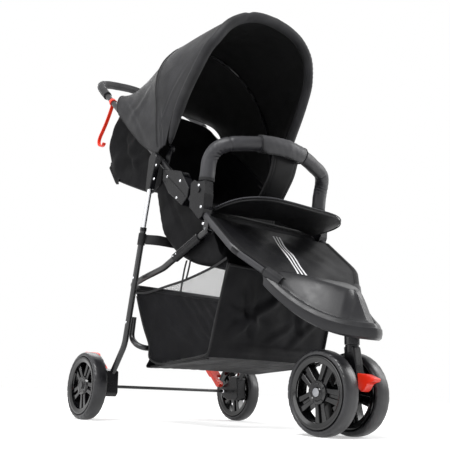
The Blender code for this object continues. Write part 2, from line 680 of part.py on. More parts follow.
# Seat
SEAT_N = 10
seat_top = spline([(-396, 470), (-384, 461), (-340, 446), (-280, 437), (-225, 439), (-192, 462), (-172, 510), (-158, 560)], SEAT_N)
seat_low = spline([(-452, 352), (-440, 337), (-380, 348), (-311, 367), (-251, 400), (-205, 441), (-190, 460), (-165, 530), (-149, 582)], SEAT_N)
seat_side = spline([(-398, 463), (-370, 488), (-315, 537), (-250, 595), (-165, 668)], SEAT_N)
top_grid, low_grid = [], []
for t, b, s in zip(seat_top, seat_low, seat_side, strict=True):
    top_half = [(0, *t), (60, *t), (115, t[0], t[1] + 1), (148, t[0], t[1] + 5), (161, *(0.75 * t + 0.25 * s)), (165, *(0.4 * t + 0.6 * s)), (166.5, *s)]
    low_half = [(0, *b), (60, *b), (120, b[0], b[1] + 1), (160, b[0], b[1] + 5), (169.5, *(0.8 * b + 0.2 * s)), (169.8, *(0.4 * b + 0.6 * s)), (169.8, *s)]
    top_grid.append([(-x, y, z) for x, y, z in top_half[:0:-1]] + top_half)
    low_grid.append([(-x, y, z) for x, y, z in low_half[:0:-1]] + low_half)
seat = shell("seat_panel", top_grid, low_grid)

apron_rows = []
tube_line = np.array(front_tube_path(1))


def on_front_tube(y):
    """Point and direction of the front tube's axis at this y."""
    at = [[np.interp(-v, -tube_line[:, 1], tube_line[:, k]) for k in range(3)] for v in (y + 3, y, y - 3)]
    along = np.array(at[2]) - at[0]
    return np.array(at[1]), along / np.linalg.norm(along)


for hem_y, mid_y in ((-421, -411), (-422, -416), *((y, y) for y in (-423, -450, -476, -490, -502, -514, -526, -540, -562))):
    centre, tangent = on_front_tube(hem_y)
    normal = np.array((0, -0.69, 0.724))
    normal -= tangent * (normal @ tangent)
    normal /= np.linalg.norm(normal)
    out = np.cross(normal, tangent)
    out *= math.copysign(1, out[0])
    wrap = [centre + 11.4 * (math.cos(a) * out + math.sin(a) * normal) for a in np.radians((-25, 10, 45, 75, 90))]
    middle = on_front_tube(mid_y)[0] + 11.4 * normal
    sag = np.array((0, normal[1], normal[2])) * 5
    half = wrap + [middle * (f, 1, 1) - sag * (1 - f * f) for f in (0.75, 0.5, 0.25, 0.0)]
    apron_rows.append(np.vstack([half, np.array(half[-2::-1]) * (-1, 1, 1)]))
sheet("leg_apron", apron_rows, 1.8)

calf_edge = [(0, -527), (40, -526), (80, -521), (112, -509), (136, -491), (152, -466), (159, -436), (160, -398.9)]
calf = calf_edge + [(-x, y) for x, y in calf_edge[::-1]][:-1]
low, high = [], []
for x, y in calf:
    z = 470.6 + (-396.7 - y) * 0.128
    low.append((x, y, z))
    high.append((x, y, z + 11))
ring_n = len(calf)
inner_low = [(x * 0.97, (y + 462) * 0.97 - 462, z - 1.5) for x, y, z in low]
inner_high = [(x * 0.965, (y + 462) * 0.965 - 462, z + 2.5) for x, y, z in high]
rings = [inner_low, low, high, inner_high]
faces = [
    (k * ring_n + j, k * ring_n + (j + 1) % ring_n, (k + 1) * ring_n + (j + 1) % ring_n, (k + 1) * ring_n + j)
    for k in range(3) for j in range(ring_n)
]
faces += [tuple(range(ring_n)), tuple(range(3 * ring_n, 4 * ring_n))]
solid("calf_rest", sum(rings, []), faces, "pad_leather")

# Backrest and its gusset
board = spline([(-146.15, 578.8), (-100, 598), (0, 636), (84, 671), (106, 686), (114, 704)], 9)
board_x = np.linspace(-1, 1, 9)
board_thick = [[15 * (1 - 0.35 * abs(x) ** 4) for x in board_x] for _ in board]
sheet("backrest_panel", [[(156 * x, y, z + 3 * x * x) for x in board_x] for y, z in board], board_thick)
low_edge = [(163.5, -138, 590), (164, -96, 606), (165, 0, 645), (164, 84, 680), (158, 126, 708), (130, 142, 722), (60, 144, 722), (0, 144, 722)]
top_edge = [(172.6, -150, 686), (173, -100, 731), (173, 0, 820), (173, 84, 894), (169, 117, 918), (130, 124, 926), (60, 127, 930), (0, 128, 930)]
low_edge, top_edge = mirrored(spline(low_edge, 13)), mirrored(spline(top_edge, 13))
gusset = []
for t in np.linspace(0, 1, 5):
    row = low_edge * (1 - t) + top_edge * t
    lift = 26 * math.sin(math.pi * t)
    rear = np.clip((row[:, 1] - 80) / 45, 0, 1)
    row = row + np.stack([0 * rear, lift * rear, 0 * rear], 1)
    gusset.append(row)
sheet("back_gusset", gusset, 1.6)

# Basket
basket = spline([(-83, 324.6), (-106, 283), (-132, 238), (-163, 190), (-174, 152), (-162, 130), (-230, 133), (-320, 140), (-404, 148), (-414, 156), (-436, 230), (-462, 300), (-478, 338)], 22)
columns = np.linspace(-166, 166, 7)
sheet("basket_body", [[(x, y, z) for x in columns] for y, z in basket], 2.4)
side_low = spline([(-90, 312), (-108, 276), (-134, 232), (-165, 186), (-175, 158)], 9)
for name, side in SIDES:
    rim_line = spline([(-92, 317), (-151, 312), (-244, 318), (-324, 324), (-423, 339), (-470, 352)], 14)
    foot_line = spline([(-92, 308), (-112, 270), (-138, 226), (-169, 182), (-176, 150), (-230, 136), (-320, 143), (-404, 152), (-420, 166), (-444, 245), (-470, 340)], 14)
    net = []
    for t in np.linspace(0, 1, 5):
        net.append([(side * (167.2 + 3 * math.sin(math.pi * t)), *(top * (1 - t) + foot * t)) for top, foot in zip(rim_line, foot_line, strict=True)])
    sheet(f"basket_mesh_{name}", net, 1.4, "dark_mesh")
    rim = sheet(f"basket_rim_{name}", [[(side * 171.6, y, z + d) for d in (-4, 4)] for y, z in rim_line], 1.6)
prism("basket_board", [(-184, 135.5), (-398, 151.5), (-398, 156), (-184, 140)], -157, 157)

# Canopy
RIM = [(161.2, -223, 684), (162, -233, 697), (174, -244, 715), (181, -262, 745), (184, -292, 795), (180, -326, 844), (171, -362, 897), (158, -382, 925), (140, -399, 957), (118, -409, 978), (85, -417, 997), (45, -420, 1009), (0, -420, 1014)]
RIB = [(167.6, -214, 683.6), (181, -206, 704), (190, -194, 745), (194, -182, 800), (193, -168, 854), (183, -156, 905), (165, -146, 948), (140, -137, 985), (105, -126, 1023), (55, -114, 1052), (0, -108, 1063)]
rim_half, rib_half = spline(RIM, 13), spline(RIB, 13)
rim_path, rib_path = mirrored(rim_half), mirrored(rib_half)
fat = np.array([2.4, 9, *([13.0] * 11)])
rim = tube("canopy_front_rim", rim_path, np.concatenate([fat, fat[-2::-1]]), "black_fabric", 8)
thin = np.array([2.2, *([3.5] * 12)])
rib = tube("canopy_mid_rib", rib_path, np.concatenate([thin, thin[-2::-1]]), "black_plastic", 6)
for side in (-1, 1):
    fuse(rim, rod("hub", (side * 160.2, *CANOPY_PIVOT), (side * 165.1, *CANOPY_PIVOT), 12, sides=14))
    cut(rim, rod("bore", (side * 155, *CANOPY_PIVOT), (side * 175, *CANOPY_PIVOT), bore(PIN_R)))
    fuse(rib, rod("hub", (side * 165.5, *CANOPY_PIVOT), (side * 170.4, *CANOPY_PIVOT), 12, sides=14))
    cut(rib, rod("bore", (side * 155, *CANOPY_PIVOT), (side * 175, *CANOPY_PIVOT), bore(PIN_R)))


def outward(points):
    away = np.asarray(points, float) - (0, -200, 760)
    away[:, 1] = 0
    away[:, 2] = np.maximum(away[:, 2], 0)
    return away / np.linalg.norm(away, axis=1)[:, None]


front_edge = mirrored(spline([(188, -228, 700), *RIM[4:]], 13))
rib_edge = mirrored(spline([(193, -166, 690), (194.5, -180, 735), *RIB[4:]], 13))
rear_edge = mirrored(spline([(195, 106, 901), (194.8, 111, 928), (187, 112, 947), (160, 122, 955), (105, 130, 960), (0, 132, 964)], 13))
front_rows = []
for t in np.linspace(0, 1, 5):
    row = front_edge * (1 - t) + rib_edge * t
    toward = rib_edge - front_edge
    toward /= np.linalg.norm(toward, axis=1)[:, None]
    row = row + toward * 15 * (1 - t) + outward(row) * (5.4 * t + 10 * 4 * t * (1 - t) * 0.5 + 4 * (1 - t))
    row -= toward * 0.4 * t
    front_rows.append(row)
sheet("canopy_fabric_front", front_rows, 1.6)
rear_rows = []
for t in np.linspace(0, 1, 5):
    row = rib_edge * (1 - t) + rear_edge * t
    toward = rear_edge - rib_edge
    toward /= np.linalg.norm(toward, axis=1)[:, None]
    row = row + outward(row) * 5.4 * (1 - t) + toward * 0.4 * (1 - t)
    rear_rows.append(row)
sheet("canopy_fabric_rear", rear_rows, 1.6)


# Joints: an empty on each axis carries what moves about it


def joint(name, at, carrier, pieces):
    """An empty at this point, hung from the carrier's empty, with the pieces under it."""
    axis = bpy.data.objects.new(name, None)
    axis.empty_display_size = 0.03
    bpy.context.scene.collection.objects.link(axis)
    here = Vector(world(at)[0])
    axis["at"] = here
    axis.parent = carrier
    axis.location = here - Vector(carrier["at"]) if carrier else here
    for piece in pieces:
        moving = bpy.data.objects[piece]
        moving.parent = axis
        moving.location = -here
    return axis


def both(*names):
    return [f"{name}_{side}" for name in names for side, _ in SIDES]


push_axis = joint("fold_axis", (0, *FOLD), None, [
    "push_tube", "handle_grip", "canopy_fabric_front", "canopy_fabric_rear", "back_gusset", *both("canopy_bracket")])
leg_axis = joint("leg_axis", (0, *LEG_TOP), push_axis, [
    "lower_cross_tube", "axle_rod", "back_support_band",
    *both("rear_leg", "rear_leg_upper", "leg_top_bracket", "wheel_housing")])
joint("link_axis", (0, *LINK_FRONT), None, ["link_tube", *both("link_rail")])
joint("canopy_front_axis", (0, *CANOPY_PIVOT), push_axis, ["canopy_front_rim"])
joint("canopy_mid_axis", (0, *CANOPY_PIVOT), push_axis, ["canopy_mid_rib"])
joint("backrest_axis", (0, *BACK_HINGE), None, ["backrest_panel"])
joint("calf_axis", (0, *CALF_HINGE), None, ["calf_rest"])
joint("bumper_slide", (0, -397, 541), None, ["bumper_pad", "bumper_cover", "crotch_strap"])
joint("hook_axis", (-TUBE_X, *HOOK_AT), push_axis, ["transport_hook"])
swivel_axis = joint("swivel_axis", (0, FORK_Y, FORK_LOW_Z + 50), None, ["swivel_block", "front_axle"])
joint("swivel_lock_axis", (0, *LEVER_PIN), swivel_axis, ["swivel_lock_lever"])
for name, side in SIDES:
    joint(f"rear_wheel_axis_{name}", (side * REAR_X, 0, AXLE_Z), leg_axis, [f"rear_rim_{name}", f"rear_tyre_{name}"])
    joint(f"front_wheel_axis_{name}", (side * FRONT_X, FRONT_Y, AXLE_Z), swivel_axis,
          [f"front_rim_{name}", f"front_tyre_{name}"])
    joint(f"brake_axis_{name}", (side * 178.5, *PEDAL), leg_axis, [f"brake_pedal_{name}"])
    joint(f"button_slide_{name}", (side * 192, -392, 518), None, [f"release_button_{name}"])
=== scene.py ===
# %% [markdown]
# This script finishes a folding three-wheel pushchair. The imported frame already holds every solid of
# it, so it says where each tube, panel and wheel is and what turns with what. What is missing is the
# skin that the eye sees: woven cloth, padded bars, powder-coated tube and moulded plastic. One could
# paint the solids as they are, but cloth would look like board. So each soft or round piece gets a new
# skin over its solid, and most skins are parented to an empty named for the body they ride on.

import math

import bmesh
import bpy
import numpy as np
from mathutils import Matrix, Vector


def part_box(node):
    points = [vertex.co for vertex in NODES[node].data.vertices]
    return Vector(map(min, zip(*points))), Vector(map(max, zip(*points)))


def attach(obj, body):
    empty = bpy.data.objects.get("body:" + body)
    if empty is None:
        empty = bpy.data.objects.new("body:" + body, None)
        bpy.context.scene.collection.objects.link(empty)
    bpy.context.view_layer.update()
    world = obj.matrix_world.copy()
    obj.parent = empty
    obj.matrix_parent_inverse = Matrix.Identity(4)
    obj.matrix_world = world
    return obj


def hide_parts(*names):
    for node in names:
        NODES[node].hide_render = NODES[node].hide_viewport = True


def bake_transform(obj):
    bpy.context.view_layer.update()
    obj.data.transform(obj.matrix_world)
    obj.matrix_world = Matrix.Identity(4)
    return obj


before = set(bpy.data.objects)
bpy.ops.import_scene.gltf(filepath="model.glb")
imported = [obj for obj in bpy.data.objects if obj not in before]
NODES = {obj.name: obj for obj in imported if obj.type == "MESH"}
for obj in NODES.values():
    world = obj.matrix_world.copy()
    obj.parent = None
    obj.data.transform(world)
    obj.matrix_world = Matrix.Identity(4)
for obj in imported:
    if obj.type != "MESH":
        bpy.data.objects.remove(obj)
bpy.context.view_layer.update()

# %% [markdown]
# Shapes are written in millimetres from the rear axle: y = 0 on the axle, forward is -Y, up is +Z
# and the child's left is +X. Blender works in metres, and one could type metres everywhere. Plain
# millimetres are easier to compare with a ruler on the real thing, so one function converts them.

# %% Units and shared sizes
MM = 0.001
axle_low, axle_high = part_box("axle_rod")
AXLE_Y = (axle_low.y + axle_high.y) / 2 / MM
WHEEL_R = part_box("rear_tyre_left")[1].z / MM / 2
SIDES = (("left", 1.0), ("right", -1.0))

REAR_X, FRONT_X, FRONT_Y = 242.5, 44.0, -626.0
FORK_Y = -666.0
TUBE_X = 183.0
FOLD = (-315.0, 538.5)
PUSH_DIR = (0.7455, 0.6665)
PUSH_R, FRONT_R, LEG_R, LINK_R, CROSS_R, FORK_R = 8.75, 8.5, 7.35, 7.75, 6.9, 9.0
FRONT_BEND = (-512.0, 364.0)
RAIL_START = (128.0, -566.0, 310.0)
LEG_TOP, LEG_BEND, LEG_FOOT = (-199.4, 641.8), (-110.0, 182.0), (-36.0, 88.0)
LEG_X_LOW, LEG_X_TOP = 203.0, 205.4
LINK_FRONT, LINK_BEND, LINK_X = (-417.0, 423.5), (-236.0, 361.0), 181.5
print(f"rear axle at y = {AXLE_Y:.1f} mm, wheels {2 * WHEEL_R:.0f} mm across")


def place(points):
    """Metres in the frame from millimetres about the rear axle."""
    return (np.asarray(points, float).reshape(-1, 3) + (0.0, AXLE_Y, 0.0)) * MM


def flip(points, side):
    """The points for this side: x changes sign on the child's right."""
    return np.asarray(points, float) * (side, 1, 1)


# %% [markdown]
# Most of a pushchair is one of two things: a section carried along a path (tubes, pads, piping) or
# cloth stretched over a grid of points. Blender's curve objects could draw the paths, but a curve
# can't be read back as an array. So paths are arrays here: a spline goes through points measured on
# the object, and a bent path has the straight runs and round arcs of a tube bender.

# %% Paths
def resample(path, count):
    """The same path in evenly stepped points."""
    path = np.asarray(path, float)
    along = np.concatenate([[0], np.cumsum(np.linalg.norm(np.diff(path, axis=0), axis=1))])
    wanted = np.linspace(0, along[-1], count)
    return np.stack([np.interp(wanted, along, path[:, k]) for k in range(path.shape[1])], 1)


def spline(points, count):
    """Evenly stepped points of the Catmull-Rom curve through all the given points."""
    p = np.asarray(points, float)
    p = np.vstack([2 * p[0] - p[1], p, 2 * p[-1] - p[-2]])
    t = np.linspace(0, 1, 24, endpoint=False)[:, None]
    fine = [
        0.5 * (2 * b + (c - a) * t + (2 * a - 5 * b + 4 * c - d) * t**2 + (3 * b - a - 3 * c + d) * t**3)
        for a, b, c, d in zip(p, p[1:], p[2:], p[3:], strict=False)
    ]
    return resample(np.vstack([*fine, p[-2][None]]), count)


def mirrored(half):
    """Both halves of a path whose first half ends on x = 0."""
    half = np.asarray(half, float)
    return np.vstack([half, half[-2::-1] * (-1, 1, 1)])


def bent(corners, radii, arc_step=5.0):
    """A path through the corners with each inner corner rounded to its radius."""
    corners = [np.asarray(c, float) for c in corners]
    path = [corners[0]]
    for before, here, after, radius in zip(corners, corners[1:], corners[2:], radii, strict=False):
        a, b = before - here, after - here
        a, b = a / np.linalg.norm(a), b / np.linalg.norm(b)
        turn = math.pi - math.acos(np.clip(a @ b, -1, 1))
        reach = radius * math.tan(turn / 2)
        middle = a + b
        centre = here + middle / np.linalg.norm(middle) * radius / math.cos(turn / 2)
        start, end = here + a * reach - centre, here + b * reach - centre
        steps = max(2, round(math.degrees(turn) / arc_step))
        for t in np.linspace(0, 1, steps + 1):
            arc = math.sin((1 - t) * turn) * start + math.sin(t * turn) * end
            path.append(centre + arc / math.sin(turn))
    path.append(corners[-1])
    return np.array(path)


def carried_frames(path, up=(0.13, 0.2, 0.97)):
    """Tangent, side and normal at each path point, carried along without twist."""
    tangent = np.gradient(path, axis=0)
    tangent /= np.linalg.norm(tangent, axis=1)[:, None]
    normal = [np.asarray(up, float)]
    for t in tangent:
        n = normal[-1] - t * (normal[-1] @ t)
        normal.append(n / np.linalg.norm(n))
    normal = np.array(normal[1:])
    return tangent, np.cross(tangent, normal), normal


# %% [markdown]
# Every mesh goes through one function, which merges doubled points, turns the faces outward and
# marks the sharp edges. Grids of points become quads. The faces of a whole grid are worked out at
# once from two ranges of numbers, which is faster than adding them one by one in a loop.

# %% Meshes
def mesh_object(name, points, faces, material, smooth=True, sharp=40.0):
    """A mesh piece from millimetre points."""
    mesh = bpy.data.meshes.new(name)
    mesh.from_pydata(place(points).tolist(), [], [list(map(int, f)) for f in faces])
    work = bmesh.new()
    work.from_mesh(mesh)
    bmesh.ops.remove_doubles(work, verts=work.verts, dist=1e-7)
    bmesh.ops.recalc_face_normals(work, faces=work.faces)
    work.to_mesh(mesh)
    work.free()
    if smooth:
        mesh.shade_smooth()
        mesh.set_sharp_from_angle(angle=math.radians(sharp))
    mesh.materials.append(material)
    made = bpy.data.objects.new(name, mesh)
    bpy.context.scene.collection.objects.link(made)
    return made


def grid_faces(rows, cols, wrap_rows=False, wrap_cols=False):
    """Quads between neighbours of a grid of points numbered row by row."""
    i, j = np.meshgrid(
        np.arange(rows if wrap_rows else rows - 1), np.arange(cols if wrap_cols else cols - 1),
        indexing="ij",
    )
    i, j = i.ravel(), j.ravel()
    ni, nj = (i + 1) % rows, (j + 1) % cols
    return np.stack([i * cols + j, i * cols + nj, ni * cols + nj, ni * cols + j], 1)


def surface(name, grid, material, wrap_rows=False, wrap_cols=False, caps=False, sharp=40.0):
    """A mesh over a grid of points. caps closes both ends of a tube."""
    grid = np.asarray(grid, float)
    rows, cols = grid.shape[:2]
    faces = [tuple(f) for f in grid_faces(rows, cols, wrap_rows, wrap_cols)]
    if caps:
        faces += [tuple(range(cols)), tuple(range((rows - 1) * cols, rows * cols))]
    return mesh_object(name, grid.reshape(-1, 3), faces, material, sharp=sharp)


# %% [markdown]
# A sweep carries a round section along a path. The section's radius is a function of how far along
# and which way round, so a plain tube, a wrinkled pad and a ribbed grip are all one tool. A curve
# with a bevel could make the tube, but not a radius that changes in both directions.

# %% Sweeps
SWEEP_SIDES = 32


def swept(name, path, section, material, up=(0.13, 0.2, 0.97), sharp=40.0):
    """A capped sweep. section(s, a) is the radius at share s of the path and angle a round it."""
    path = np.asarray(path, float)
    _, side, normal = carried_frames(path, up)
    a = np.linspace(0, 2 * math.pi, SWEEP_SIDES, endpoint=False)
    along = np.concatenate([[0], np.cumsum(np.linalg.norm(np.diff(path, axis=0), axis=1))])
    s = (along / along[-1])[:, None]
    r = np.broadcast_to(section(s, a[None, :]), (len(path), len(a)))[..., None]
    around = np.cos(a)[None, :, None] * side[:, None] + np.sin(a)[None, :, None] * normal[:, None]
    grid = path[:, None] + r * around
    return surface(name, grid, material, wrap_cols=True, caps=True, sharp=sharp)


def tube(name, path, radius, material, sharp=40.0):
    """A round bar or cord along the path."""
    return swept(name, path, lambda s, a: radius + 0 * s * a, material, sharp=sharp)


def rod(name, start, end, radius, material):
    """A straight round bar."""
    return tube(name, resample([start, end], 4), radius, material)


# %% [markdown]
# Materials. Nearly everything here is black, so what tells one thing from another is not its colour
# but how it scatters light: dull woven polyester, satin coated pads, orange-peel powder coat, grained
# polypropylene, gloss ABS. Pictures of the real materials could be wrapped round the pieces, but they
# need unwrapping and blur up close. Procedural patterns in millimetres on Object coordinates stay
# sharp and sit still on the part. Each one also drifts a little in tone and gloss, as real stock does.

# %% Material helpers
def srgb(text):
    """Linear colour from an sRGB hex string."""
    parts = [int(text[k : k + 2], 16) / 255 for k in (0, 2, 4)]
    return tuple(c / 12.92 if c < 0.04045 else ((c + 0.055) / 1.055) ** 2.4 for c in parts) + (1.0,)


def add(tree, kind, inputs=(), **settings):
    """Add one node. settings are its own options; inputs are its sockets, as values or links."""
    node = tree.nodes.new("ShaderNode" + kind)
    for key, value in settings.items():
        setattr(node, key, value)
    for key, value in dict(inputs).items():
        if isinstance(value, bpy.types.NodeSocket):
            tree.links.new(value, node.inputs[key])
        else:
            node.inputs[key].default_value = value
    return node


def per_mm(size):
    """Noise scale whose features are about this many millimetres."""
    return 1000.0 / size


def compute(tree, operation, *values):
    """The result of one Math node on these values or links."""
    return add(tree, "Math", dict(enumerate(values)), operation=operation).outputs[0]


def noise(tree, where, size_mm, detail, **more):
    """Noise between 0 and 1 whose features are about this size."""
    inputs = {"Vector": where, "Scale": per_mm(size_mm), "Detail": detail} | more
    return add(tree, "TexNoise", inputs).outputs[0]


def bump(tree, height, depth_mm, strength, over=None):
    """Relief of this depth, on top of another relief where one is given."""
    inputs = {"Height": height, "Distance": depth_mm * MM, "Strength": strength}
    if over is not None:
        inputs["Normal"] = over
    return add(tree, "Bump", inputs).outputs[0]


def start_finish(name, metallic=0.0, **sockets):
    """A Principled material, and Object coordinates to draw its patterns on."""
    material = bpy.data.materials.new(name)
    material.use_nodes = True
    shader = material.node_tree.nodes["Principled BSDF"]
    shader.inputs["Metallic"].default_value = metallic
    for key, value in sockets.items():
        shader.inputs[key.replace("_", " ")].default_value = value
    return material, material.node_tree, add(material.node_tree, "TexCoord").outputs["Object"]


def finish_surface(tree, where, dark, light, tone_mm, rough, rough_mm, relief):
    """Link drifting colour, drifting roughness and the relief's normal to the shader."""
    shader = tree.nodes["Principled BSDF"]
    tone = noise(tree, where, tone_mm, 5.0)
    spread = add(tree, "MapRange", {"Value": tone, "From Min": 0.32, "From Max": 0.68})
    colour = add(tree, "Mix", {0: spread.outputs[0], 6: srgb(dark), 7: srgb(light)}, data_type="RGBA")
    gloss = noise(tree, where, rough_mm, 4.0)
    limits = {"From Min": 0.35, "From Max": 0.65, "To Min": rough[0], "To Max": rough[1]}
    rough_by = add(tree, "MapRange", {"Value": gloss} | limits)
    tree.links.new(colour.outputs[2], shader.inputs["Base Color"])
    tree.links.new(rough_by.outputs[0], shader.inputs["Roughness"])
    tree.links.new(relief, shader.inputs["Normal"])


# %% [markdown]
# Woven polyester, plain weave: canopy, seat, basket and straps. The threads could be modelled, at
# millions of faces. Instead three sine waves, one per axis, make a relief that works on a surface
# facing any way, with a pitch of about a millimetre, coarse enough to show. Broad noise adds the soft
# creases of cloth that was folded in its box. A little sheen gives the pale bloom at grazing angles.

# %% Woven cloth
def woven(
    name, dark, light, pitch=0.9, rough=(0.62, 0.8), sheen=0.06, crease=0.5, crease_mm=26, specular=0.3
):
    """Height of the threads = sin(x) + sin(y) + sin(z), with the creases' noise over it."""
    material, tree, where = start_finish(
        name, Sheen_Weight=sheen, Sheen_Roughness=0.4, Specular_IOR_Level=specular
    )
    threads = None
    for axis in add(tree, "SeparateXYZ", {0: where}).outputs:
        wave = compute(tree, "SINE", compute(tree, "MULTIPLY", axis, 2000 * math.pi / pitch))
        threads = wave if threads is None else compute(tree, "ADD", threads, wave)
    weave = bump(tree, threads, 0.06, 0.3)
    slack = noise(tree, where, crease_mm, 5.0, Distortion=0.6)
    worn = bump(tree, slack, 1.2, crease, over=weave)
    finish_surface(tree, where, dark, light, 70, rough, 55, worn)
    return material


CLOTH = woven("woven_polyester_canopy", "0f0f11", "19191c")
LINING = woven("canopy_lining_cloth", "040405", "09090a", sheen=0.01, crease=0.7)
# The rear skirt's cloth is painted darker than the canopy's: the darker colour is painted shade for the
# skirt, which hangs in shadow.
SKIRT_CLOTH_PAINTED_SHADE = woven(
    "loose_skirt_cloth", "050506", "0c0c0e", rough=(0.7, 0.86), sheen=0.0, crease=0.9, specular=0.1
)
SEAT_CLOTH = woven("woven_seat_cloth", "060607", "0e0e10", pitch=1.1, sheen=0.0, crease=0.8, specular=0.1)
BASKET_CLOTH = woven(
    "woven_basket_cloth", "08080a", "101013", sheen=0.01, crease=0.9, crease_mm=32, specular=0.2
)
APRON_CLOTH = woven(
    "taut_leg_cloth", "08080a", "0e0e11", rough=(0.42, 0.55), sheen=0.0, crease=0.2, specular=0.18
)
WEBBING = woven("polyester_webbing", "08080a", "111113", pitch=1.8, sheen=0.03, crease=0.1)
PIPING = woven("black_bias_binding", "060607", "0d0d0f", pitch=0.7, sheen=0.03, crease=0.05)
PIPING_GREY = woven("grey_bias_binding", "2a2a2d", "3a3a3e", pitch=0.7, sheen=0.05, crease=0.05)
STRIPE = woven("white_sewn_braid", "d8d8da", "ececee", pitch=0.6, rough=(0.5, 0.6), sheen=0.0, crease=0.0)

# %% [markdown]
# Soft coated cover over foam, as on the bumper bar and calf rest: a pebbled grain of about 1 mm and
# a satin face. Plain noise would look like dust, because its bumps have no borders. Voronoi cells
# have them: the distance to the cell's edge draws flat pebbles with fine valleys between.

# %% Coated cover
def coated(name, dark, light, rough=(0.42, 0.56), grain_mm=1.1, sheen=0.05, specular=0.42):
    """Pebbles as high as they are far from their cell's edge, with soft creases over them."""
    material, tree, where = start_finish(
        name, Sheen_Weight=sheen, Sheen_Roughness=0.35, Specular_IOR_Level=specular
    )
    cells = add(tree, "TexVoronoi", feature="DISTANCE_TO_EDGE")
    tree.links.new(where, cells.inputs["Vector"])
    cells.inputs["Scale"].default_value = per_mm(grain_mm)
    grain = bump(tree, cells.outputs["Distance"], 0.12, 0.25)
    slack = noise(tree, where, 21, 4.0, Distortion=0.4)
    soft = bump(tree, slack, 0.8, 0.35, over=grain)
    finish_surface(tree, where, dark, light, 60, rough, 35, soft)
    return material


PAD = coated("coated_pad_cover", "19191c", "242428")
# A darker copy of the pad cover for the calf rest and crotch strap, which are seen from below: its darker
# colour is painted shade on their undersides, and its face is rougher.
PAD_DULL_PAINTED_SHADE = coated("coated_pad_underside", "060607", "0c0c0e", rough=(0.5, 0.64), sheen=0.0, specular=0.18)
FOAM = coated("grip_foam", "131315", "1c1c1f", rough=(0.55, 0.7), grain_mm=1.6)

# %% [markdown]
# Hard parts. Powder coat is a baked plastic skin with a faint orange peel of 2 to 3 mm. Moulded
# polypropylene carries the mould's spark-eroded grain, finer than that. The wheel rims are polished
# in the mould, so they have almost no relief and a sharp reflection. All of these are the same thing
# with other numbers, so one function with a grain size and a depth makes them all.

# %% Powder coat, moulded plastic and rubber
def hard_skin(name, dark, light, rough, grain_mm, depth_mm, strength, specular=0.5, tone_mm=60, **extra):
    """A plain skin whose relief is one noise of this grain size and depth."""
    material, tree, where = start_finish(name, Specular_IOR_Level=specular, **extra)
    grain = noise(tree, where, grain_mm, 3.0, Roughness=0.6)
    relief = bump(tree, grain, depth_mm, strength)
    finish_surface(tree, where, dark, light, tone_mm, rough, 24, relief)
    return material


STEEL = hard_skin(
    "black_powder_coat", "0c0c0e", "151517", (0.3, 0.42), 2.4, 0.08, 0.35, Coat_Weight=0.1,
    Coat_Roughness=0.25,
)
TUBE_SKIN = hard_skin("satin_powder_coat", "1a1a1d", "26262a", (0.38, 0.5), 2.4, 0.08, 0.35)
MOULDED = hard_skin(
    "grained_polypropylene", "101013", "1a1a1d", (0.3, 0.42), 1.3, 0.07, 0.3, specular=0.35
)
DARK_PLASTIC = hard_skin("black_nylon", "08080a", "111114", (0.2, 0.34), 1.4, 0.06, 0.3, specular=0.25)
GLOSS = hard_skin("polished_abs_rim", "060607", "0d0d0f", (0.08, 0.18), 3.0, 0.02, 0.1)
RED = hard_skin("red_polypropylene", "d0240f", "ea3a22", (0.26, 0.38), 1.4, 0.04, 0.15)
TYRE = hard_skin("eva_tyre", "161618", "232326", (0.3, 0.46), 1.7, 0.12, 0.4, specular=0.45, tone_mm=40)

# %% [markdown]
# Metal. Drawn tube has fine lines along its length, from the die it was pulled through. Anisotropic
# shading could show them, but it needs tangents. Noise stretched along one axis by a Mapping node
# gives the same streaks on any piece. Rivets and pins are zinc-plated and brighter.

# %% Metal
def drawn_metal(name, dark, light, rough, stretch):
    """Metal with lines along the axis whose stretch is smallest."""
    material, tree, where = start_finish(name, metallic=1.0)
    squeezed = add(tree, "Mapping", {"Vector": where, "Scale": stretch}).outputs[0]
    lines = add(tree, "TexNoise", {"Vector": squeezed, "Scale": 1.0, "Detail": 3.0})
    relief = bump(tree, lines.outputs[0], 0.02, 0.25)
    finish_surface(tree, where, dark, light, 30, rough, 33, relief)
    return material


SILVER = drawn_metal("drawn_silver_tube", "c6c7ca", "dddee1", (0.24, 0.38), (900, 900, 14))
ZINC = drawn_metal("zinc_plated_steel", "77797c", "9c9da0", (0.3, 0.45), (14, 900, 900))
RIVET = drawn_metal("bright_rivet", "b4b5b8", "d8d9dc", (0.15, 0.28), (400, 400, 400))

# %% [markdown]
# Sheer net on the basket's sides. The threads cover about a quarter of it, so one layer looks pale
# grey against white and vanishes against the dark inside. Modelled threads would be far too many, and
# plain half-transparency has no threads at all. So two crossing families of lines are opaque where a
# sine is near zero, and alpha cuts out the rest.

# %% Net
NET_PITCH, NET_THREAD = 2.2, 0.2


def sheer_net(name):
    """Opaque where the smaller of |sin(y + z)| and |sin(y - z)| is below the thread's share."""
    material, tree, where = start_finish(name, Specular_IOR_Level=0.2)
    parts = add(tree, "SeparateXYZ", {0: where}).outputs
    gaps = []
    for way in ("ADD", "SUBTRACT"):
        slant = compute(tree, way, parts[1], parts[2])
        wave = compute(tree, "SINE", compute(tree, "MULTIPLY", slant, 1000 * math.pi / NET_PITCH))
        gaps.append(compute(tree, "ABSOLUTE", wave))
    nearest = compute(tree, "MINIMUM", *gaps)
    opaque = compute(tree, "LESS_THAN", nearest, NET_THREAD)
    tree.links.new(opaque, tree.nodes["Principled BSDF"].inputs["Alpha"])
    relief = bump(tree, nearest, 0.2, 0.3)
    finish_surface(tree, where, "141416", "1d1d20", 40, (0.8, 0.95), 20, relief)
    return material


NET = sheer_net("sheer_basket_net")
covered = 2 / math.pi * math.asin(NET_THREAD)
print(f"net threads cover {100 * (1 - (1 - covered) ** 2):.0f}% of the side")

# %% [markdown]
# The camera stands low on the child's right, in front, as in the photograph, so it looks up at the
# undersides. Its place and lens were solved from points of known size, such as the wheels. Turning
# a camera by hand with Euler angles gets confusing once it rolls, so its three axes are written out.

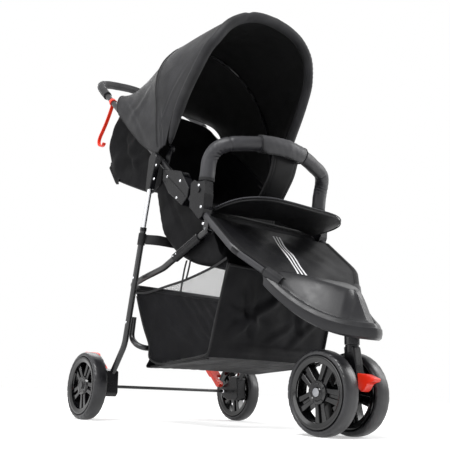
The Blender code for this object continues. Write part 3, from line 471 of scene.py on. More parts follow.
# %% Camera
CAMERA_AT = (-0.96470, -1.31832, 0.07168)
CAMERA_YAW, CAMERA_PITCH, CAMERA_ROLL = -0.6416, 0.2617, 0.0363
LENS_MM = 50.72


def aim_camera():
    """Heading, then pitch, then roll, written as the three axes of the camera's matrix."""
    lens = bpy.data.cameras.new("camera")
    lens.lens, lens.sensor_width = LENS_MM, 36.0
    lens.clip_end = 100
    eye = bpy.data.objects.new("camera", lens)
    cy, sy, cp, sp = (f(v) for v in (CAMERA_YAW, CAMERA_PITCH) for f in (math.cos, math.sin))
    ahead, right = Vector((-sy * cp, cy * cp, sp)), Vector((cy, sy, 0))
    up = right.cross(ahead)
    cr, sr = math.cos(CAMERA_ROLL), math.sin(CAMERA_ROLL)
    right, up = right * cr + up * sr, up * cr - right * sr
    eye.matrix_world = Matrix.Translation(CAMERA_AT) @ Matrix((right, up, -ahead)).transposed().to_4x4()
    bpy.context.scene.collection.objects.link(eye)
    bpy.context.scene.camera = eye


# %% [markdown]
# Soft lamps stand in for a photo studio: a large key over the child's right shoulder, a weaker one
# on the far side, and one behind to edge the canopy. A bare white world would be simpler, but it
# lights black cloth from all round and washes it out to grey. So the world is white to the eye only.

# %% Lamps
def lamp(name, at, target, size, watts):
    """A soft lamp of this size in metres, turned toward the target."""
    light = bpy.data.lights.new(name, "AREA")
    light.shape, light.size, light.size_y = "RECTANGLE", *size
    light.energy = watts
    made = bpy.data.objects.new(name, light)
    made.location = at
    made.rotation_euler = (Vector(target) - Vector(at)).to_track_quat("-Z", "Y").to_euler()
    bpy.context.scene.collection.objects.link(made)


def seen_directly(tree):
    """1 for camera, mirror-like and see-through rays, and 0 for light that falls on the object."""
    path = add(tree, "LightPath")
    out = path.outputs["Is Camera Ray"]
    for name in ("Is Glossy Ray", "Is Transmission Ray"):
        out = compute(tree, "MAXIMUM", out, path.outputs[name])
    return out


WORLD_LIGHT = 0.38


def light_studio():
    """A white world that lights the object with only a share of its brightness, and four lamps."""
    world = bpy.data.worlds.new("studio")
    bpy.context.scene.world = world
    world.use_nodes = True
    tree = world.node_tree
    level = add(tree, "MapRange", {"Value": seen_directly(tree), "To Min": WORLD_LIGHT, "To Max": 1.0})
    tree.links.new(level.outputs[0], tree.nodes["Background"].inputs["Strength"])
    tree.nodes["Background"].inputs["Color"].default_value = (1, 1, 1, 1)
    lamp("key", (-1.5, -1.1, 2.4), (0, -0.1, 0.5), (1.3, 1.3), 78)
    lamp("fill", (-2.2, 0.6, 1.0), (0, 0, 0.5), (1.2, 1.6), 16)
    lamp("far_side", (1.9, -1.2, 1.5), (0, -0.2, 0.5), (1.0, 1.6), 34)
    lamp("back", (0.5, 1.9, 2.0), (0, 0, 0.8), (1.6, 1.0), 24)


# %% [markdown]
# The floor is paper that keeps a faint shadow. A shadow catcher would need compositing afterwards.
# Here the floor's own glow, for the eye only, grows with distance, so that the far floor is as white
# as the world and no horizon line shows.

# %% Floor
def make_floor():
    """Diffuse floor plus a glow that rises from 0.42 near the object to 1 three metres away."""
    reach = 30000.0
    points = [(-reach, -reach, 0), (reach, -reach, 0), (reach, reach, 0), (-reach, reach, 0)]
    material = bpy.data.materials.new("studio_floor")
    material.use_nodes = True
    tree = material.node_tree
    tree.nodes.clear()
    matt = add(tree, "BsdfDiffuse", {"Color": (0.86, 0.86, 0.86, 1)})
    distance = add(
        tree, "VectorMath", {0: add(tree, "TexCoord").outputs["Object"]}, operation="LENGTH"
    ).outputs["Value"]
    lift = add(
        tree, "MapRange",
        {"Value": distance, "From Min": 0.6, "From Max": 3.0, "To Min": 0.42, "To Max": 1.0},
    )
    direct = compute(tree, "MULTIPLY", seen_directly(tree), lift.outputs[0])
    glow = add(tree, "Emission", {"Color": (1, 1, 1, 1), "Strength": direct})
    both = add(tree, "AddShader", {0: matt.outputs[0], 1: glow.outputs[0]})
    add(tree, "OutputMaterial", {"Surface": both.outputs[0]})
    mesh_object("floor", points, [(0, 1, 2, 3)], material, smooth=False)


aim_camera()
light_studio()
make_floor()
print(f"{len(bpy.data.lights)} lamps, {LENS_MM} mm lens")
bpy.context.scene.view_settings.view_transform = "Standard"

# %% [markdown]
# Frame pieces that already have their true shape keep their solids: covers, sockets, brackets, the
# plated upper leg. They get the right finish and a Bevel modifier of about a millimetre, because no
# moulded or sawn part has a perfectly sharp corner. Modelling them again would add nothing.

# %% Carried-over solids
def soften(piece, width, segments=2):
    """Rounded edges, so that corners catch the light."""
    step = piece.modifiers.new("edges", "BEVEL")
    step.width = width * MM
    step.segments = segments
    step.limit_method = "ANGLE"
    step.angle_limit = math.radians(32)
    step.harden_normals = True
    return piece


KEPT = {
    "front_axle": (ZINC, 0.4),
    "axle_rod": (STEEL, 0.4),
    "canopy_mid_rib": (DARK_PLASTIC, 0.3),
    "basket_board": (DARK_PLASTIC, 0.8),
}
for _side, _ in SIDES:
    KEPT |= {
        f"armrest_socket_{_side}": (DARK_PLASTIC, 1.2),
        f"release_button_{_side}": (DARK_PLASTIC, 0.8),
        f"fold_joint_cover_{_side}": (DARK_PLASTIC, 1.0),
        f"leg_top_bracket_{_side}": (DARK_PLASTIC, 1.0),
        f"canopy_bracket_{_side}": (DARK_PLASTIC, 0.3),
        f"link_rail_{_side}": (DARK_PLASTIC, 0.4),
        f"rear_leg_upper_{_side}": (SILVER, 0.3),
    }
for _node, (_material, _width) in KEPT.items():
    _piece = NODES[_node]
    _piece.data.materials.clear()
    _piece.data.materials.append(_material)
    soften(_piece, _width)
print(f"{len(KEPT)} solids kept")


# %% [markdown]
# Each new skin has to move with its solid. It could be parented by hand, but then a forgotten piece
# would stay behind when the pushchair folds. One function does it for all of them: it parents the piece
# to the empty of the body it rides on and hides the solids it stands for.

# %% Riding on the frame
SLOT_OF = {
    "black_fabric": (
        CLOTH, LINING, SKIRT_CLOTH_PAINTED_SHADE, SEAT_CLOTH, BASKET_CLOTH, APRON_CLOTH, WEBBING, PIPING, STRIPE
    ),
    "pad_leather": (PAD, PAD_DULL_PAINTED_SHADE, PIPING_GREY), "black_steel": (STEEL, TUBE_SKIN),
    "black_plastic": (DARK_PLASTIC, MOULDED), "gloss_plastic": (GLOSS,), "red_plastic": (RED,),
    "zinc_steel": (ZINC, RIVET), "tyre_rubber": (TYRE,), "grip_foam": (FOAM,), "dark_mesh": (NET,),
}
SLOT_OF = {material.name: slot for slot, materials in SLOT_OF.items() for material in materials}


def dress(piece, body, *nodes, slot=None):
    """The piece rides on a body and stands for these nodes, which are hidden. slot is not used."""
    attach(piece, body)
    if nodes:
        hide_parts(*nodes)
    return piece


def print_size(*names):
    """Width, length and height in millimetres, and the number of faces, of these pieces."""
    for name in names:
        mesh = bpy.data.objects[name].data
        at = np.empty(3 * len(mesh.vertices))
        mesh.vertices.foreach_get("co", at)
        x, y, z = np.ptp(at.reshape(-1, 3), axis=0) / MM
        print(f"{name}: {x:.0f} x {y:.0f} x {z:.0f} mm, {len(mesh.polygons)} faces")


# %% [markdown]
# The frame is bent steel tube. The solids follow it in short facets, which show as flats along the
# highlight. So each tube is swept again over the same line with a round section and smooth bends.
# The lines are functions of the fold hinge and the tube's direction, as the real frame is laid out.

# %% Tube lines
def on_push(length, offset=0.0):
    """(y, z) at this length up the push tube from the fold hinge, and this far above its axis."""
    return (
        FOLD[0] + length * PUSH_DIR[0] - offset * PUSH_DIR[1],
        FOLD[1] + length * PUSH_DIR[1] + offset * PUSH_DIR[0],
    )


def on_leg(z):
    """The rear leg's axis at this height above its bend."""
    t = (z - LEG_BEND[1]) / (LEG_TOP[1] - LEG_BEND[1])
    return (LEG_X_LOW + t * (LEG_X_TOP - LEG_X_LOW), LEG_BEND[0] + t * (LEG_TOP[0] - LEG_BEND[0]), z)


def front_tube_line(side, beyond=16.0):
    """Down from the fold hinge, round the bend, and in toward the footrest."""
    start = (TUBE_X, FOLD[0] - 16 * PUSH_DIR[0], FOLD[1] - 16 * PUSH_DIR[1])
    bend, end = (TUBE_X, *FRONT_BEND), np.array(RAIL_START)
    end = end + (end - bend) / np.linalg.norm(end - bend) * beyond
    return flip(bent([start, bend, end], [60]), side)


HANDLE = [
    (183, 600), (183.5, 660), (180, 712), (165, 752), (140, 778), (113.7, 796.5), (72.4, 817.6),
    (36, 833), (0, 838),
]
HANDLE_HALF = spline([(x, *on_push(length)) for x, length in HANDLE], 60)


# %% [markdown]
# The front tubes run down from the fold hinge to the footrest, with a moulded collar at the bend.
# Flat-sided pieces, such as the lugs here and the pedals later, are slabs: an outline drawn in side
# view and given a thickness. The Bevel modifier rounds them, which stays easy to change afterwards.

# %% Tubes of the chassis
def slab(name, outline, x0, x1, material, round_by=1.2, segments=3):
    """The (y, z) outline between two x planes with rounded edges."""
    n = len(outline)
    points = [(x, y, z) for x in (x0, x1) for y, z in outline]
    faces = [(j, (j + 1) % n, n + (j + 1) % n, n + j) for j in range(n)] + [
        tuple(range(n)), tuple(range(n, 2 * n))
    ]
    return soften(mesh_object(name, points, faces, material, sharp=30.0), round_by, segments)


LUG = [(-427, 436), (-412, 449), (-408, 423), (-417, 414), (-426, 421)]


def make_front_tubes():
    """Front tubes with a collar at the bend, the link's lugs and pins, and the fork tube."""
    for name, side in SIDES:
        line = front_tube_line(side)
        dress(tube(f"front_tube_skin_{name}", line, FRONT_R, TUBE_SKIN), "chassis", f"front_tube_{name}")
        bend = np.argmin(np.linalg.norm(line[:, 1:] - FRONT_BEND, axis=1))
        collar = tube(f"bend_collar_{name}", line[bend - 1 : bend + 3], FRONT_R + 0.9, DARK_PLASTIC)
        dress(collar, "chassis")
        for x in (172.5, 190.5):
            lug = slab(f"link_lug_{name}_{x:.0f}", LUG, side * (x - 0.9), side * (x + 0.9), STEEL, 0.4)
            dress(lug, "chassis")
        pin = rod(f"link_pin_{name}", (side * 171, *LINK_FRONT), (side * 192.5, *LINK_FRONT), 3.0, ZINC)
        dress(pin, "chassis")
    fork = rod("fork_tube_skin", (0, FORK_Y, 100), (0, FORK_Y, 214), FORK_R, STEEL)
    dress(fork, "chassis", "fork_tube")


# %% [markdown]
# The rear legs, the push tube, the link under the seat and the lower cross tube. They sit on three
# different bodies, because they turn against each other when the pushchair folds.

# %% Tubes that fold
def make_folding_tubes():
    """Rear legs, push tube, link and lower cross tube."""
    for name, side in SIDES:
        leg = flip(bent([(LEG_X_LOW, *LEG_FOOT), (LEG_X_LOW, *LEG_BEND), on_leg(470)], [70]), side)
        dress(tube(f"rear_leg_skin_{name}", leg, LEG_R, STEEL), "rear_frame", f"rear_leg_{name}")
        low, high = flip([on_leg(462), on_leg(470.6)], side)
        dress(rod(f"leg_collar_{name}", low, high, LEG_R + 0.9, DARK_PLASTIC), "rear_frame")
        eye = rod(f"fold_eye_{name}", (side * 174.5, *FOLD), (side * 191.5, *FOLD), PUSH_R + 0.3, STEEL)
        dress(eye, "push_frame")
        bolt = rod(f"cross_bolt_{name}", (side * 184, -114, 236), (side * 198, -114, 236), 3.5, ZINC)
        dress(bolt, "rear_frame")
    push = [(TUBE_X, *on_push(length)) for length in np.linspace(0, 590, 40)] + list(HANDLE_HALF)
    dress(tube("push_tube_skin", mirrored(push), PUSH_R, STEEL), "push_frame", "push_tube")
    link = bent(
        [
            (LINK_X, *LINK_FRONT), (LINK_X, *LINK_BEND), (LINK_X, -150, 349), (LINK_X, -72, 334),
            (0, -72, 334),
        ],
        [90, 70, 30],
    )
    dress(tube("link_tube_skin", mirrored(link), LINK_R, STEEL), "link", "link_tube")
    cross = bent([(185.5, -115, 252), (185.5, -109, 200), (185.5, -150, 176), (0, -151, 176)], [22, 22])
    dress(tube("cross_tube_skin", mirrored(cross), CROSS_R, STEEL), "rear_frame", "lower_cross_tube")


GRIP_R = 13.0


def make_grip():
    """Foam sleeve: a round section with a faint ring every few millimetres."""
    rings = lambda s, a: GRIP_R + 0.12 * np.sin(240 * math.pi * s) + 0 * a
    grip = swept("handle_grip_skin", mirrored(HANDLE_HALF[6:]), rings, FOAM)
    dress(grip, "push_frame", "handle_grip")


make_front_tubes()
make_folding_tubes()
make_grip()
print_size("front_tube_skin_left", "push_tube_skin", "link_tube_skin", "handle_grip_skin")

# %% [markdown]
# Two shapes come back many times on the wheels and joints: a profile turned round the wheel's axis,
# and a small domed head. Blender's own primitives could be scaled to fit, but a profile in
# millimetres can be read and changed like a drawing.

# %% Turned and domed shapes
def lathe(name, profile, centre, material, steps=96, sharp=35.0):
    """The closed (x, r) profile turned round the x axis through centre."""
    a = np.linspace(0, 2 * math.pi, steps, endpoint=False)[:, None]
    x, r = np.asarray(profile, float).T
    grid = np.stack([x + 0 * a, r * np.cos(a), r * np.sin(a)], 2) + np.asarray(centre, float)
    return surface(name, grid, material, wrap_rows=True, wrap_cols=True, sharp=sharp)


def dome(name, centre, axis, radius, height, material, rings=5, steps=20):
    """A domed rivet or screw head standing on centre: a quarter circle turned round its axis."""
    axis = np.asarray(axis, float) / np.linalg.norm(axis)
    one = np.cross(axis, (0.3, 0.2, 0.93))
    one /= np.linalg.norm(one)
    two = np.cross(axis, one)
    a = np.linspace(0, 2 * math.pi, steps, endpoint=False)[:, None]
    around = np.cos(a) * one + np.sin(a) * two
    grid = []
    for t in np.linspace(0, 0.97, rings):
        r, h = radius * math.cos(t * math.pi / 2) ** 0.6, height * math.sin(t * math.pi / 2)
        grid.append(np.asarray(centre) + axis * h + r * around)
    return surface(name, grid, material, wrap_cols=True, caps=True, sharp=60)


# %% [markdown]
# Wheels. The rims are one gloss moulding: a ring that holds the tyre, five spokes of two ribs each
# over a thinner web, and a ribbed hub. Ring and hub are turned profiles, as a Screw modifier would
# make them, but written as arrays so that they can share sizes with the tyre. The spokes are blocks
# with rounded edges, and overlap the ring as the real ones run into it.

# %% Wheel rims
SPOKES, SPOKE_TURN = 5, math.radians(46)


def spoke_block(x, y, low, high, depth, mid):
    """Four rings of a bar that flares toward the tyre, between two widths across the spoke."""
    block = []
    for r, flare in ((14, 0.86), (34, 0.94), (56, 1.16), (62, 1.3)):
        for w, d in ((low, -depth), (high, -depth), (high, depth), (low, depth)):
            u, v = math.sqrt(max(r * r - (w * flare) ** 2, 0)), w * flare
            along_y = y + u * math.cos(mid) - v * math.sin(mid)
            up_z = WHEEL_R + u * math.sin(mid) + v * math.cos(mid)
            block.append((x + d, along_y, up_z))
    return block


def rim_pieces(name, x, y, outer):
    """Ring, hub, spokes and cap. outer is the side that faces away from the frame."""
    half = [
        (14.2, 5.0), (14.2, 9), (13, 10.4), (13, 15.5), (14.2, 17), (13.8, 22.5), (8.5, 25), (8.5, 14),
        (0, 14),
    ]
    hub = half[:-1] + [(-a, r) for a, r in reversed(half[:-1])]
    ring = [(15.0, 57.2), (17.3, 63.5), (17.8, 67.4), (17.4, 69.3), (15.6, 69.7), (12, 66.0), (0, 65.6)]
    ring = ring[:-1] + [(-a, r) for a, r in reversed(ring[:-1])] + [
        (-9.5, 57.8), (-8.5, 58.6), (8.5, 58.6), (9.5, 57.8)
    ]
    centre = (x, y, WHEEL_R)
    pieces = [
        lathe(f"{name}_ring", ring, centre, GLOSS, 120), lathe(f"{name}_hub", hub, centre, GLOSS, 60)
    ]
    points, faces = [], []
    for k in range(SPOKES):
        for low, high, depth in ((-13.5, -3.6, 10.8), (3.6, 13.5, 10.8), (-4.2, 4.2, 6.4)):
            base = len(points)
            points += spoke_block(x, y, low, high, depth, 2 * math.pi * k / SPOKES + SPOKE_TURN)
            faces += [tuple(base + f) for f in grid_faces(4, 4, wrap_cols=True)]
            faces += [tuple(base + j for j in range(4)), tuple(base + 12 + j for j in range(4))]
    pieces.append(soften(mesh_object(f"{name}_spokes", points, faces, GLOSS, sharp=30), 1.6, 3))
    cap = [(12.6, 0.1), (12.6, 7.0), (14.6, 9.2), (15.4, 8.6), (16.2, 6.5), (16.6, 0.1)]
    pieces.append(lathe(f"{name}_cap", [(outer * a, r) for a, r in cap], centre, DARK_PLASTIC, 40))
    for k in range(SPOKES):
        turn = 2 * math.pi * (k + 0.5) / SPOKES + SPOKE_TURN
        at = (x + outer * 13.4, y + 19.5 * math.cos(turn), WHEEL_R + 19.5 * math.sin(turn))
        pieces.append(dome(f"{name}_hub_boss_{k}", at, (outer, 0, 0), 2.6, 1.4, DARK_PLASTIC))
    return pieces


# %% [markdown]
# The tyre is foam with short slanted grooves across its shoulders. Cutting thirty grooves with
# booleans is slow and leaves bad faces. A dip in the profile's radius, worked out from the angle,
# gives the same grooves on one clean grid.

# %% Tyres
def ridge(x, width):
    """A bell curve: 1 at x = 0 and nearly 0 at twice this width."""
    return np.exp(-((np.asarray(x) / width) ** 2))


GROOVES, GROOVE_DEPTH = 30, 1.1
TYRE_HALF = [
    (12.7, 66.9), (15.2, 70.5), (17.2, 72.2), (18, 74), (17.7, 77), (16.2, 79.4), (12.5, 81.3),
    (6.5, 82.3), (2, WHEEL_R),
]


def tyre_skin(name, x, y):
    """Radius = profile - depth x (bell curve round each groove) x (bell curve on each shoulder)."""
    half = np.array(TYRE_HALF)
    profile = spline(np.vstack([half, half[::-1] * (-1, 1)]), 64)
    a = np.linspace(0, 2 * math.pi, 480, endpoint=False)[:, None]
    px, pr = profile.T
    across = np.arange(len(px)) / (len(px) - 1)
    shoulder = ridge(np.abs(across - 0.5) - 0.29, 0.075)
    groove = ridge((a * GROOVES / (2 * math.pi) + np.abs(px) * 0.09) % 1 - 0.5, 0.13)
    lip = ridge(across - 0.06, 0.015) + ridge(across - 0.94, 0.015)
    r = np.minimum(pr - GROOVE_DEPTH * groove * shoulder + 0.35 * lip, WHEEL_R)
    grid = np.stack([x + px + 0 * a, y + r * np.cos(a), WHEEL_R + r * np.sin(a)], 2)
    return surface(name, grid, TYRE, wrap_rows=True, wrap_cols=True, sharp=50)


def make_wheels():
    """Four wheels, each turning on its own body."""
    for name, side in SIDES:
        for kind, x, y in (("rear", REAR_X, 0.0), ("front", FRONT_X, FRONT_Y)):
            body = f"{kind}_wheel_{name}"
            rim = rim_pieces(body, side * x, y, side)
            dress(rim[0], body, f"{kind}_rim_{name}")
            for piece in rim[1:]:
                dress(piece, body, slot="gloss_plastic")
            dress(tyre_skin(f"{body}_tyre", side * x, y), body, f"{kind}_tyre_{name}")


make_wheels()
print_size("rear_wheel_left_ring", "rear_wheel_left_tyre")

# %% [markdown]
# Wheel fittings. A slim sleeve carries each rear wheel on the leg's foot, with a wide red brake
# pedal behind it. In front a curved swivel arm hangs under the footrest, with its red lock lever. All
# are flat-sided mouldings, so slabs with generous rounding give them in a few points each.

# %% Housings, pedals and swivel
HOUSING = [
    (-64, 119), (-50, 125), (-34, 123), (-20, 108), (2, 97), (12, 88), (12, 77), (2, 68), (-24, 58),
    (-60, 58), (-68, 66),
]
PEDAL_ARM = [
    (12, 96), (7, 93), (-1, 95), (-5, 101), (-1, 108), (6, 110), (22, 120), (46, 140), (52, 134),
    (34, 116),
]
PEDAL_PAD = [
    (40, 128), (64, 150), (80, 168), (92, 172), (98, 167), (94, 158), (72, 142), (50, 122), (43, 121)
]
SWIVEL_ARM = [
    (-679, 172), (-653, 172), (-655, 146), (-650, 116), (-634, 101), (-611, 97), (-608, 80), (-616, 68),
    (-636, 66), (-660, 84), (-680, 100), (-687, 118), (-684, 140),
]
LEVER = [
    (-686, 121), (-706, 119), (-728, 111), (-727, 106), (-711, 101), (-703, 90), (-696, 86), (-688, 92),
    (-687, 106),
]


def make_wheel_fittings():
    """Slabs with rounded edges, because these are all flat-sided mouldings."""
    for name, side in SIDES:
        sleeve = slab(f"wheel_housing_skin_{name}", HOUSING, side * 189, side * 221, DARK_PLASTIC, 2.4, 4)
        dress(sleeve, "rear_frame", f"wheel_housing_{name}")
        body = f"brake_{name}"
        arm = slab(f"brake_arm_{name}", PEDAL_ARM, side * 171, side * 186.4, RED, 1.4, 3)
        dress(arm, body, f"brake_pedal_{name}")
        dress(slab(f"brake_pad_{name}", PEDAL_PAD, side * 173, side * 211, RED, 1.8, 4), body)
    dress(slab("swivel_arm", SWIVEL_ARM, -11, 11, DARK_PLASTIC, 3.0, 4), "swivel", "swivel_block")
    dress(rod("swivel_hub", (-24, FRONT_Y, WHEEL_R), (24, FRONT_Y, WHEEL_R), 13, DARK_PLASTIC), "swivel")
    dress(rod("swivel_cap", (0, FORK_Y, 160), (0, FORK_Y, 175), 13.5, DARK_PLASTIC), "swivel")
    lever = slab("swivel_lever", LEVER, -10, 10, RED, 1.8, 4)
    dress(lever, "swivel_lock", "swivel_lock_lever")


make_wheel_fittings()
print_size("wheel_housing_skin_left", "brake_pad_left", "swivel_arm", "swivel_lever")

# %% [markdown]
# The footrest is one big grained moulding. From the front it is a rounded bumper rail that bellies
# down to the nose, and inside it a smooth body that swells up under the leg cloth. Sculpting or a
# subdivided cage could make it, but would be hard to match to sizes. Here the height is a formula of
# plan position: rail, then a groove, then a rise to the body's crown, less an oval dish.

# %% Footrest moulding
def smoothstep(t):
    """0 below 0, 1 above 1, and an S curve between."""
    t = np.clip(t, 0, 1)
    return t * t * (3 - 2 * t)


NOSE = (0.0, -729.0)
NOSE_LOW_Z = 182.0
RAIL_OUT_X, RAIL_BACK_Y = 142.0, -558.0
RAIL_WIDE, RAIL_TALL = 15.0, 31.0


def nose_edge(u):
    """Outer plan edge of the moulding: u from -1 (child's right) through the nose to 1."""
    bow = 0.45 * abs(u) ** 1.35 + 0.55 * abs(u) ** 2.2
    return RAIL_OUT_X * u, NOSE[1] + (RAIL_BACK_Y - NOSE[1]) * bow


def back_share(y):
    """0 at the nose and 1 at the back."""
    return np.clip((y - NOSE[1]) / (RAIL_BACK_Y - NOSE[1]), 0, 1)


def rail_low_z(y):
    """Lower edge of the rail, which bellies down toward the nose."""
    return NOSE_LOW_Z + (286.0 - NOSE_LOW_Z) * back_share(y) ** 1.9


def moulding_top(x, y, inward):
    """Rail, groove, rising body, and the dish near the nose."""
    rail = rail_low_z(y) + RAIL_TALL - 9.0 * smoothstep(1 - inward / 8.0) ** 2
    rail = rail + 1.6 * ridge(inward - 9, 5)
    crown = 230.0 + 96.0 * back_share(y) ** 0.5
    body = rail + (crown - rail) * smoothstep((inward - RAIL_WIDE) / 40.0) ** 0.75
    groove = -3.4 * ridge(inward - RAIL_WIDE, 1.8)
    dish = ((x + 4) / 40.0) ** 2 + ((y + 697.0) / 13.0) ** 2
    lip = -3.0 * smoothstep((1.0 - dish) / 0.5)
    return body + groove + lip * smoothstep((inward - RAIL_WIDE) / 9.0)


def make_moulding():
    """Lines from the plan edge to a spine down the middle, above and below."""
    us = np.sin(np.linspace(-1, 1, 161) * math.pi / 2)
    shares = np.concatenate([[1.0, 0.994, 0.985, 0.97], np.linspace(0.95, 0.0, 60)])
    top, low = [], []
    for u in us:
        edge = np.array(nose_edge(u))
        spine_y = edge[1] + 12 - 18 * smoothstep((abs(u) - 0.5) / 0.45)
        spine = np.array([0.0, np.clip(spine_y, -672.0, -585.0)])
        plan = spine + (edge - spine) * shares[:, None]
        inward = np.linalg.norm(edge - plan, axis=1)
        x, y = plan.T
        top.append(np.stack([x, y, moulding_top(x, y, inward)], 1))
        low.append(np.stack([x * 0.985, y + 2, rail_low_z(y) + 4.0 * ridge(inward, 3)], 1))
    top, low = np.array(top), np.array(low)
    wall = top[:, :1] * 0.55 + low[:, :1] * 0.45 + (0, -1.6, 0)
    grid = np.concatenate([top[:, ::-1], wall, low], axis=1)
    made = surface("footrest_skin", grid, MOULDED, sharp=50)
    dress(made, "chassis", "footrest_moulding")
    dress(rod("fork_boss", (0, FORK_Y, 176), (0, FORK_Y, 212), 15.0, MOULDED), "chassis")
    for name, side in SIDES:
        line = front_tube_line(side, 18.0)
        tip = line[-1]
        along = (tip - line[-2]) / np.linalg.norm(tip - line[-2])
        cuff = rod(f"rail_cuff_{name}", tip - along * 32, tip + along * 6, FRONT_R + 3.2, MOULDED)
        dress(soften(cuff, 1.4, 3), "chassis")
        low_end, high_end = tip - along * 36, tip - along * 31.5
        ring = rod(f"rail_cuff_ring_{name}", low_end, high_end, FRONT_R + 1.6, DARK_PLASTIC)
        dress(ring, "chassis")


make_moulding()
print_size("footrest_skin")

# %% [markdown]
# A closed cloth is two offset copies of its grid, joined round the edge. A Solidify modifier does
# the same, but two grids can also differ in shape, which the seat and the strap need. The hem then
# has a real thickness, and never shows a paper edge.

# %% Sheets
def normals_of(grid):
    """The unit normal at each grid point: the cross product of its two directions."""
    normal = np.cross(np.gradient(grid, axis=0), np.gradient(grid, axis=1))
    return normal / np.maximum(np.linalg.norm(normal, axis=2), 1e-9)[..., None]


def two_faced(name, top, low, material, sharp=60.0):
    """A closed solid between two grids of the same size, joined round the edge."""
    rows, cols = top.shape[:2]
    size = rows * cols
    quads = grid_faces(rows, cols)
    faces = [tuple(f) for f in quads] + [tuple(f[::-1] + size) for f in quads]
    rim = [i * cols for i in range(rows)] + [(rows - 1) * cols + j for j in range(1, cols)]
    rim += [i * cols + cols - 1 for i in range(rows - 2, -1, -1)] + list(range(cols - 2, 0, -1))
    faces += [(a, b, b + size, a + size) for a, b in zip(rim, rim[1:] + rim[:1], strict=True)]
    return mesh_object(
        name, np.concatenate([top.reshape(-1, 3), low.reshape(-1, 3)]), faces, material, sharp=sharp
    )


def cloth(name, grid, thickness, material, sharp=60.0):
    """A sheet of this thickness whose middle is the grid."""
    grid = np.asarray(grid, float)
    half = normals_of(grid) * np.broadcast_to(np.asarray(thickness, float) / 2, grid.shape[:2])[..., None]
    return two_faced(name, grid + half, grid - half, material, sharp)


# %% [markdown]
# Slack cloth has broad uneven waves, and pulled cloth has creases along slanting lines with a valley
# beside them. A Displace modifier with a noise picture gives only the first. Both are plain formulas
# here, with a seeded random generator, so the same cloth comes out on every run.

# %% Waves and creases
def ripple(u, v, seed, waves=5, low=2.0, high=7.0):
    """The mean of a few sine waves in seeded directions, about +-1."""
    rng = np.random.default_rng(seed)
    total = 0
    for _ in range(waves):
        fu, fv = rng.uniform(low, high, 2) * rng.choice((-1, 1), 2)
        total = total + rng.uniform(0.5, 1) * np.sin(fu * u + fv * v + rng.uniform(0, 6.28))
    return total / waves * 1.6


def creases(u, v, folds):
    """Ridges with a valley beside them, along lines (height, u0, v0, u1, v1, width)."""
    total = 0.0
    for height, u0, v0, u1, v1, width in folds:
        length = math.hypot(u1 - u0, v1 - v0)
        cu, cv = (u1 - u0) / length, (v1 - v0) / length
        along = (u - u0) * cu + (v - v0) * cv
        off = (v - v0) * cu - (u - u0) * cv
        fade = smoothstep(along / (0.3 * length)) * smoothstep((length - along) / (0.3 * length))
        total = total + height * fade * (ridge(off, width) - 0.6 * ridge(off - 1.4 * width, width))
    return total


# %% [markdown]
# Canopy. A padded rim in front, a thin rib over the middle and the push tube behind hold up one
# sheet of cloth, drawn tight between them, so it is hollow between the hoops and has slanting tension
# folds near its gathered lower corners. A cloth simulation could find this shape. A sheet that is
# tight in one direction is nearly straight lines, though, so those are drawn from hoop to hoop, and
# the sag and folds are added as heights that can be placed exactly where the photograph has them.

# %% Canopy lines
RIM = [
    (181, -230, 686), (184, -240, 700), (185.5, -251, 722), (186, -266, 752), (185, -292, 795),
    (180, -326, 844), (171, -362, 897), (158, -382, 925), (140, -399, 957), (118, -409, 978),
    (85, -417, 997), (45, -420, 1009), (0, -420, 1014),
]
FRONT_EDGE = [(184, -228, 680), (186, -241, 702), (187, -254, 730), (187, -268, 758), *RIM[4:]]
RIB_EDGE = [
    (189, -197, 668), (194, -194, 700), (195.5, -188, 745), (195, -182, 800), (193, -168, 854),
    (183, -156, 905), (165, -146, 948), (140, -137, 985), (105, -126, 1023), (55, -114, 1052),
    (0, -108, 1063),
]
REAR_EDGE = [
    (193, 58, 866), (193, 62, 890), (187, 72, 914), (172, 86, 936), (145, 102, 950), (100, 118, 960),
    (50, 128, 964), (0, 131, 965),
]
CANOPY_COLS = 75
CORNER_FOLDS = [(2.6, 0.55, 0.1, 1.0, 0.75, 0.03), (2.0, 0.7, 0.9, 0.98, 0.2, 0.03)]


def outward(points):
    """Unit direction away from the canopy's middle line, for lifting cloth off its hoops."""
    away = np.asarray(points, float) - (0, -200, 760)
    away[..., 1] = 0
    away[..., 2] = np.maximum(away[..., 2], 0)
    return away / np.linalg.norm(away, axis=-1)[..., None]


def canopy_panel(front, back, rows, lift, sag, seed, hang):
    """Straight lines between two hoops, plus lift off each hoop, sag between, and folds."""
    u = np.linspace(-1, 1, front.shape[0])[None, :]
    t = np.linspace(0, 1, rows)[:, None]
    grid = front[None] * (1 - t[..., None]) + back[None] * t[..., None]
    low_down = np.abs(u) ** 1.5
    fold = 1.6 * ripple(2.2 * u, 1.2 * t, seed)
    fold = fold + 1.6 * ripple(8 * u + 2.4 * t, 2 * t, seed + 1) * low_down
    fold = fold + creases(np.abs(u), t, CORNER_FOLDS)
    shape = lift[0] * (1 - t) + lift[1] * t + (sag + fold) * 4 * t * (1 - t)
    grid = grid + outward(grid) * shape[..., None]
    grid[..., 2] -= hang * 4 * t * (1 - t) * np.abs(u) ** 14 * (1.4 - t)
    return grid


# %% [markdown]
# The outer cloth, a lining just under it, and piping along the seam and edges. As the canopy folds,
# its front turns with the rim while its rear stays on the push tube. Riding on one body would tear it off
# the other, so the cloth is baked in place and rides on neither; only its rear hem rides on the push
# tube.

# %% Canopy cloth
def piping(name, line, radius, body="chassis", slot=None):
    """A bound edge: a round cord of binding along the line."""
    return dress(tube(name, line, radius, PIPING), body, slot=slot)


def canopy_blend(piece):
    """The piece, baked in place: it rides on no body, so it neither turns with the rim nor stays on the
    push tube.
    """
    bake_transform(piece)


